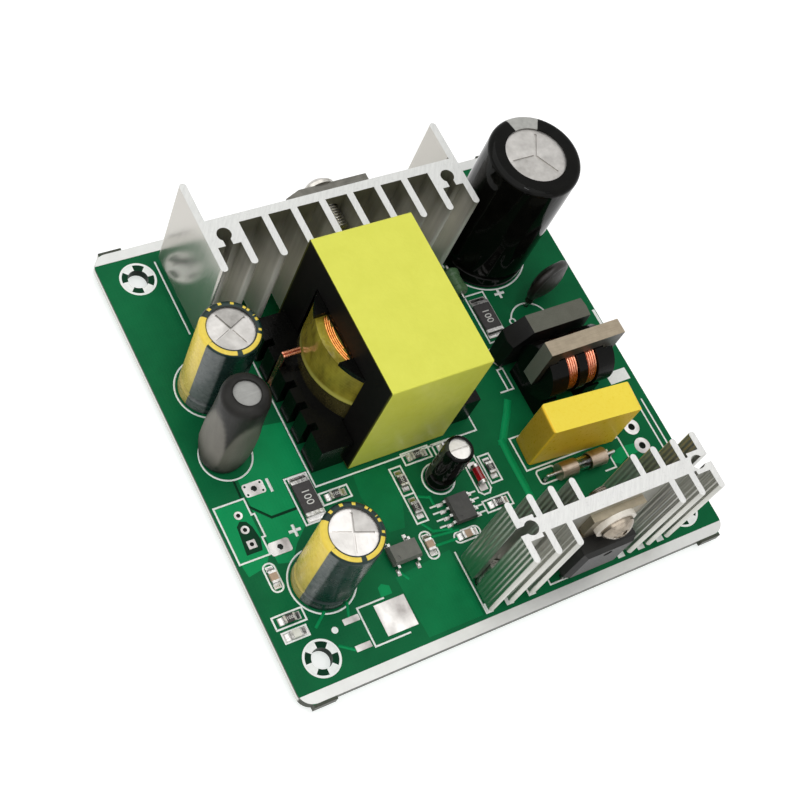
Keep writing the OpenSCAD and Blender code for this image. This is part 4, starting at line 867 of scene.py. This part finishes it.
# White print on the board
INK_HEIGHT = 0.02
PRINT = [
    [(9.95, 63.9), (9.95, 78.2)],
    [(17.7, 60), (17.7, 31.9), (48.6, 31.9), (48.6, 60)],
    oblong(59.5, 46, 63.35, 55.8), oblong(13.35, 26.4, 17.2, 34.75),
    [(0.6, 24.1), (0.6, 34), (5.85, 34), (5.85, 31.1), (6.4, 31.1), (6.4, 27.1), (5.85, 27.1),
     (5.85, 24.1), (0.6, 24.1)],
    oblong(1.85, 10.1, 5.95, 11.75),
    [(19.4, 11.1), (14.7, 11.1), (14.7, 4.5), (20.9, 4.5)],
    [(43.4, 28), (43.4, 21.6), (44.1, 20.9), (45.2, 20.9), (45.8, 21.6), (45.8, 28)],
    oblong(53.4, 22.1, 72.6, 28.4),
    [(56.5, 36.7), (59.1, 36.7)], oblong(58.0, 36.7, 59.1, 40.85), [(59.1, 40.85), (57.6, 43.4)],
    [(72.7, 15), (72.7, 21.9)], [(80, 15), (80, 26.2)], [(81.2, 14), (81.2, 27)],
    [(67.2, 17.2), (69.4, 17.2), (69.4, 20.6)],
    [(34.25, 2.8), (34.25, 13.6)],
    [(46.9, 4.4), (46.9, 2.9), (57.7, 2.9), (57.7, 4.4)],
    [(57.3, 44.9), (73.2, 44.9), (73.2, 40.2)],
    arc(69.2, 47.5, 3.8, 20, 155), arc(*BULK_CAP, 8.5, 0, 360, 72), arc(*OUTPUT_CAPS[0], 5.5, 0, 360, 60),
    arc(*OUTPUT_CAPS[1], 5.5, 0, 360, 60), arc(*INDUCTOR, 4.33, 0, 360, 60),
    arc(*SMALL_CAP, 2.8, 0, 360, 48), arc(65.8, 48.6, 0.55, 0, 360, 20),
]
for x, y, turn in SMALL_CHIPS:
    hx, hy = (2.55, 1.05) if turn == 0 else (1.05, 2.55)
    PRINT.append(oblong(x - hx, y - hy, x + hx, y + hy))
for x, y, turn in CHIP_CAPS:
    hx, hy = (2.4, 0.95) if turn == 0 else (0.95, 2.4)
    PRINT.append(round_box(x, y, hx, hy, 0.85))
PRINT.append(round_box(56.6, 20.2, 1.85, 1.3, 0.6))
for y in (18.3, 19.5, 20.8, 22.0):
    PRINT += [[(34.1, y), (35.0, y)], [(41.8, y), (42.7, y)]]
laid_lines("board_lines", PRINT, 0.3, INK_HEIGHT, ink)

# Plus and minus signs by the output pads and the bulk capacitor
SIGNS = [[(10.4, 26.3), (12.0, 26.3)], [(11.2, 25.5), (11.2, 27.1)], [(10.75, 33.8), (10.75, 35.7)],
         [(65.5, 54.5), (67.0, 54.5)], [(66.25, 53.75), (66.25, 55.25)]]
laid_lines("board_signs", SIGNS, 0.5, INK_HEIGHT, ink)

# Printed plates, and a ring round each mounting hole with four gaps inside it
RING_HOLE, RING_STEP, RING_EDGE, RING_OUTER = 1.72, 2.7, 2.72, 3.1
SHAPES = [arc(9.86, 9.25, 0.55, 0, 345, 23)]
SHAPES += [oblong(x, 2.5, x + 1.4, 4.2)[:4] for x in (34.1, 38.1, 42.4, 60.7, 64.9, 69.0)]
for cx, cy in MOUNTS:
    SHAPES += [sector(cx, cy, RING_STEP, RING_OUTER, 45 * i, 45 * i + 45) for i in range(8)]
    SHAPES += [sector(cx, cy, RING_HOLE, RING_EDGE, 90 * i + 90, 90 * i + 136) for i in range(4)]
SHAPES += [oblong(77.2, 31.4, 81.5, 33.7)[:4], oblong(81.8, 42.7, 82.35, 46)[:4]]
ride(piece("board_marks", slab_mesh("board_marks", SHAPES, 0, 0.025), ink))

# Copper under the mask: broad areas, tracks, and the dark gaps between them. The bright areas and the
# tracks are lighter green for the copper and lighter still from painted glare.
BRIGHT_POURS = [
    [(6.3, 37.3), (6.3, 33.9), (6.4, 32.4), (8.8, 29.85), (13.0, 29.9), (13.1, 35.0), (17.4, 35.0),
     (17.4, 44.2), (13.4, 44.7), (11.2, 41.6), (9.4, 38.6)],
    [(6.3, 31.8), (8.6, 29.35), (13.1, 29.35), (13.1, 26.4), (10.6, 24.2), (8.6, 21.6), (6.3, 22.2)],
    [(0.75, 33.8), (5.75, 33.8), (5.75, 24.3), (4.4, 22.4), (1.1, 21.8), (0.75, 24.2)],
    [(69.2, 18.2), (70.6, 17.4), (72.4, 18.2), (75.2, 18.3), (75.2, 20.0), (72.2, 20.3), (69.6, 19.6)],
    [(19.4, 12.9), (20.2, 13.3), (21.3, 12.6), (21.2, 11.3), (19.2, 11.3)],
]
SOFT_POURS = [
    [(24.4, 31.5), (23.9, 27.6), (25.6, 20.6), (28.4, 20.4), (30.4, 25.2), (30.3, 31.5)],
    [(22.9, 13.4), (33.6, 14.4), (33.6, 2.6), (23.4, 2.6)],
]
OUTPUT_PAD = (8.1, 35)
PAD_HOLES = [(*OUTPUT_PAD, 0.5), (7.8, 24.6, 0.5)] + [(3.8, y, 0.35) for y in (26.56, 29.1, 31.64)]
GAPS = [[(2.8, 30.0), (3.6, 30.7), (4.6, 30.3), (5.15, 29.2), (5.5, 26.9), (5.0, 25.1), (2.3, 25.1)]]
for cx, cy in MOUNTS:
    GAPS += [sector(cx, cy, RING_HOLE, 2.75, 90 * i + 44, 90 * i + 92) for i in range(4)]
AREAS = [("copper_areas", BRIGHT_POURS, 0.014, pour_mask), ("soft_areas", SOFT_POURS, 0.012, soft_pour),
         ("dark_gaps", GAPS, 0.017, groove_mask)]
for name, outlines, high, finish in AREAS:
    ride(piece(name, slab_mesh(name, outlines, 0, high, PAD_HOLES), finish))

TRACK_HEIGHT = 0.012
GROOVES = [[(6.2, 32.3), (8.7, 29.6), (13.2, 29.6)], [(5.6, 37.4), (5.5, 34.4)]]
TRACKS = [
    [(32.6, 24.7), (34.9, 23.7), (34.9, 22.4)], [(31.4, 20.0), (32.6, 18.2), (35.6, 17.5)],
    [(31.9, 17.4), (36.6, 16.9)], [(31.9, 15.8), (36.4, 15.6)], [(13.6, 12.4), (12.9, 10.4)],
    [(9.5, 12.4), (7.4, 10.8)], [(9.5, 6.7), (11.4, 5.3)], [(24.0, 14), (24.8, 12.6)],
]
BROAD_TRACKS = [[(56.6, 34.6), (55.4, 32.8), (51.9, 28.2), (51.75, 24.9), (51.7, 19.4), (51.6, 15.4)]]
laid_lines("board_tracks", TRACKS, 0.5, TRACK_HEIGHT, pour_mask)
laid_lines("broad_tracks", BROAD_TRACKS, 1.35, TRACK_HEIGHT, pour_mask)
laid_lines("pour_grooves", GROOVES, 0.36, TRACK_HEIGHT, groove_mask)

# Plated holes at the corners of the first output pad, drawn as dark discs: painted shade where the open
# holes would be
PAD_TOP = 0.1
VIAS = [arc(OUTPUT_PAD[0] + x, OUTPUT_PAD[1] + y, 0.2, 0, 330, 11)
        for x in (-1.32, 1.32) for y in (-0.72, 0.72)]
ride(piece("pad_vias", slab_mesh("pad_vias", VIAS, PAD_TOP, PAD_TOP + 0.006), groove_mask))

# Solder drawn up the ends of the chip parts: a hollow slope of unit size, then its places
def fillet_mesh():
    slope = [(0, 1), (0.10, 0.62), (0.3, 0.32), (0.62, 0.12), (1, 0)]
    points = [(u, side * (0.5 - 0.08 * u), w) for side in (-1, 1) for u, w in slope]
    points += [(0, -0.5, 0), (0, 0.5, 0)]
    n = len(slope)
    right, left = 2 * n, 2 * n + 1
    faces = [(i, i + 1, n + i + 1, n + i) for i in range(n - 1)]
    faces += [(i + 1, i, right) for i in range(n - 1)]
    faces += [(n + i, n + i + 1, left) for i in range(n - 1)]
    faces += [(0, n, left, right), (n - 1, right, left, 2 * n - 1)]
    return mesh_of("fillet", points, faces)


def fillet_spots(chips, length, width, reach, tall):
    spots = []
    for x, y, turn in chips:
        for side in (0, 180):
            a = math.radians(turn + side)
            end = place(x + math.cos(a) * length / 2, y + math.sin(a) * length / 2, PAD_TOP)
            spots.append((end, (0, 0, turn + side), (reach * MM, width * 0.96 * MM, tall * MM)))
    return spots


spots = fillet_spots(SMALL_CHIPS + CHIP_CAPS + [STATUS_LIGHT], 2.0, 1.25, 0.7, 0.48)
spots += fillet_spots(LARGE_CHIPS, 6.3, 3.2, 0.75, 0.52)
ride(repeat("solder_fillets", repeat_tree, fillet_mesh(), spots, tin))


# Figures on the chip resistors
FIGURE_HEIGHT = 0.006


def figures(name, marks):
    points, faces = [], []
    for text, size, (x, y, z), turn in marks:
        curve = bpy.data.curves.new("figure", "FONT")
        curve.body = text
        curve.size = size * MM
        curve.align_x = curve.align_y = "CENTER"
        curve.extrude = FIGURE_HEIGHT * MM
        curve.resolution_u = 3
        holder = bpy.data.objects.new("figure", curve)
        bpy.context.scene.collection.objects.link(holder)
        bpy.context.view_layer.update()
        flat = bpy.data.meshes.new_from_object(holder.evaluated_get(bpy.context.evaluated_depsgraph_get()))
        move = Matrix.Translation(place(x, y, z)) @ Matrix.Rotation(math.radians(turn), 4, "Z")
        first = len(points)
        points += [move @ v.co for v in flat.vertices]
        faces += [[first + i for i in f.vertices] for f in flat.polygons]
        bpy.data.objects.remove(holder)
    return piece(name, mesh_of(name, points, faces), digit_ink)


LARGE_CHIP_TOP, SMALL_CHIP_TOP = 0.7, 0.65
digits = [("100", 1.9, (x, y, LARGE_CHIP_TOP + FIGURE_HEIGHT), turn + 180) for x, y, turn in LARGE_CHIPS]
digits += [("100", 0.8, (x, y, SMALL_CHIP_TOP + FIGURE_HEIGHT), turn) for x, y, turn in SMALL_CHIPS]
ride(figures("chip_figures", digits))

# Copper turns on top of the transformer's winding, bared by the left opening of the flange
TURN_COUNT, TURN_WIRE, TURN_STEPS = 4, 0.34, 16
OPENING_HALF = 4.0
core_mid = middle("transformer_core")
core_left = (core_mid.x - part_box("transformer_core")[0].x) / MM + 0.2
turn_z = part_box("transformer_winding")[1].z + 0.12 * MM
bare_points, bare_edges = [], []
for i in range(TURN_COUNT):
    r = core_left + 0.2 + TURN_WIRE * i
    half = math.degrees(min(math.acos(core_left / r), math.asin(OPENING_HALF / r)))
    path = arc(0, 0, r, 180 - half, 180 + half, TURN_STEPS)
    bare_edges += [(len(bare_points) + k, len(bare_points) + k + 1) for k in range(TURN_STEPS)]
    bare_points += [Vector((core_mid.x + x * MM, core_mid.y + y * MM, turn_z)) for x, y in path]
bare_turns = wire_tree.bake("winding_turns", mesh_of("winding_turns", bare_points, edges=bare_edges),
                            Wire=TURN_WIRE * MM, Finish=taped_copper)
ride(bare_turns)


# Shrunk sleeve of the inductor: a round collar above, flattened sides with soft ridges below
def sleeve_section(r, h, mouth, bore):
    """Radius, level, and whether the point is on the outside: up the bulging side, over the rounded
    collar and down the bore."""
    bulge = [(0, 0.88), (0.02, 0.92), (0.06, 0.98), (0.12, 1.05), (0.18, 1.10), (0.25, 1.125),
             (0.32, 1.13), (0.38, 1.12), (0.44, 1.10), (0.50, 1.07), (0.56, 1.04), (0.62, 1.015),
             (0.68, 1.0), (0.74, 0.99), (0.80, 0.985), (0.86, 0.98), (0.92, 0.98)]
    collar, turn_in = 0.98 * r, 1.5
    section = [(share * r, level * h, True) for level, share in bulge]
    section += [(collar - turn_in + turn_in * math.cos(a), h - turn_in + turn_in * math.sin(a), True)
                for a in (math.pi / 12 * i for i in range(1, 7))]
    section += [(mouth, h - 0.06, False), (mouth - 0.05, h - 0.3, False), (mouth, h - 0.55, False),
                (bore, h - 1.7, False), (bore, 0.0, False)]
    return section


def coil_sleeve_mesh(node, sides, ridge, flat, round_off, mouth, bore):
    """Flat faces cut into the round section, softly: a sharper join makes the ridges crisper."""
    steps, sharp = 144, 22
    lift_from, lift_over, most_lift = 0.6, 0.26, 0.12
    low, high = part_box(node)
    mid = (low + high) / 2
    r, h = (high.x - low.x) / 2 / MM, (high.z - low.z) / MM
    section = sleeve_section(r, h, mouth, bore)
    points, faces, shares = [], [], []
    for radius, level, outside in section:
        lift = min(max(level / h - lift_from, 0.0) / lift_over, 1.0) ** 1.5 * most_lift
        for i in range(steps):
            a = 2 * math.pi * i / steps
            reach, share = radius, 0.0
            if outside:
                aside = (a - ridge) % (2 * math.pi / sides) - math.pi / sides
                face = (flat + lift) * r / math.cos(aside) ** round_off
                reach = -math.log(math.exp(-sharp * radius) + math.exp(-sharp * face)) / sharp
                share = 1 / (1 + math.exp(sharp * (face - radius)))
            shares.append(share)
            points.append(mid.xy.to_3d() + Vector((reach * MM * math.cos(a), reach * MM * math.sin(a),
                                                   low.z + level * MM)))
    n = len(section)
    for k in range(n):
        this, above = k * steps, (k + 1) % n * steps
        for i in range(steps):
            after = (i + 1) % steps
            faces.append((this + i, this + after, above + after, above + i))
    mesh = mesh_of("coil_sleeve", points, faces)
    mesh.attributes.new("flat_side", "FLOAT", "POINT").data.foreach_set("value", shares)
    for face in mesh.polygons:
        face.use_smooth = True
    return mesh


sleeve_mesh = coil_sleeve_mesh("inductor_sleeve", sides=4, ridge=math.radians(229), flat=0.91,
                               round_off=0.55, mouth=2.2, bore=3.42)
coil_sleeve = piece("coil_sleeve", sleeve_mesh, FINISHES["inductor_sleeve"])
ride(coil_sleeve)
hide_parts("inductor_sleeve")

# Camera at the photograph's place
camera_data = bpy.data.cameras.new("camera")
camera_data.sensor_width = 36.0
camera_data.sensor_fit = "HORIZONTAL"
camera_data.lens = 69.566
camera_data.clip_start, camera_data.clip_end = 0.01, 10
camera = bpy.data.objects.new("camera", camera_data)
bpy.context.scene.collection.objects.link(camera)
right = Vector((0.8466194, -0.4473267, 0.2883303))
down = Vector((-0.2835678, -0.8376215, -0.4668828))
ahead = Vector((0.4503608, 0.3135109, -0.8359941))
view = Matrix((right, -down, -ahead)).transposed().to_4x4()
view.translation = Vector((-0.11885, -0.0805, 0.2171))
camera.matrix_world = view
bpy.context.scene.camera = camera

# Floor, world and lamps
FLOOR_HALF = 3
AMBIENT = 0.14
floor_points = [(x * FLOOR_HALF, y * FLOOR_HALF, FLOOR_Z) for x, y in ((-1, -1), (1, -1), (1, 1), (-1, 1))]
floor_mesh = mesh_of("floor", floor_points, [(0, 1, 2, 3)])
floor_finish = Finish("floor_white", Roughness=0.9, Specular_IOR_Level=0.1, Emission_Strength=0.62)
paper = floor_finish.noise(40, 2)
floor_finish.set(Base_Color=floor_finish.blend((0.60, 0.60, 0.60), (0.63, 0.63, 0.63), paper),
                 Emission_Color=floor_finish.blend((0.99, 0.99, 0.99), (1, 1, 1), paper))
piece("floor", floor_mesh, floor_finish.material)

world = bpy.data.worlds.new("studio")
bpy.context.scene.world = world
world.use_nodes = True
sky = Graph(world.node_tree)
sky.tree.nodes.clear()
rays = sky.tree.nodes.new("ShaderNodeLightPath")
by_camera, by_gloss, by_glass = (Value(sky, rays.outputs[f"Is {kind} Ray"])
                                 for kind in ("Camera", "Glossy", "Transmission"))
seen = by_camera.most(by_gloss).most(by_glass)
backdrop = sky.node("ShaderNodeBackground", {}, {
    "Color": (1, 1, 1), "Strength": AMBIENT + seen * (1 - AMBIENT)})
sky.feed(sky.tree.nodes.new("ShaderNodeOutputWorld").inputs[0], backdrop)


def lamp(name, at, target, size, power):
    light = bpy.data.lights.new(name, "AREA")
    light.shape = "SQUARE"
    light.size = size
    light.energy = power
    holder = bpy.data.objects.new(name, light)
    bpy.context.scene.collection.objects.link(holder)
    holder.location = at
    holder.rotation_euler = (Vector(target) - Vector(at)).to_track_quat("-Z", "Y").to_euler()


lamp("overhead", (-0.2, 0.03, 0.6), (0, 0, 0), size=1.2, power=6.0)
lamp("small_key", (0.0, -0.12, 0.62), (0, 0, 0), size=0.05, power=0.3)
lamp("front_fill", (0.05, -0.6, 0.3), (0, 0, 0.01), size=0.5, power=0.6)

bpy.context.scene.view_settings.view_transform = "Standard"
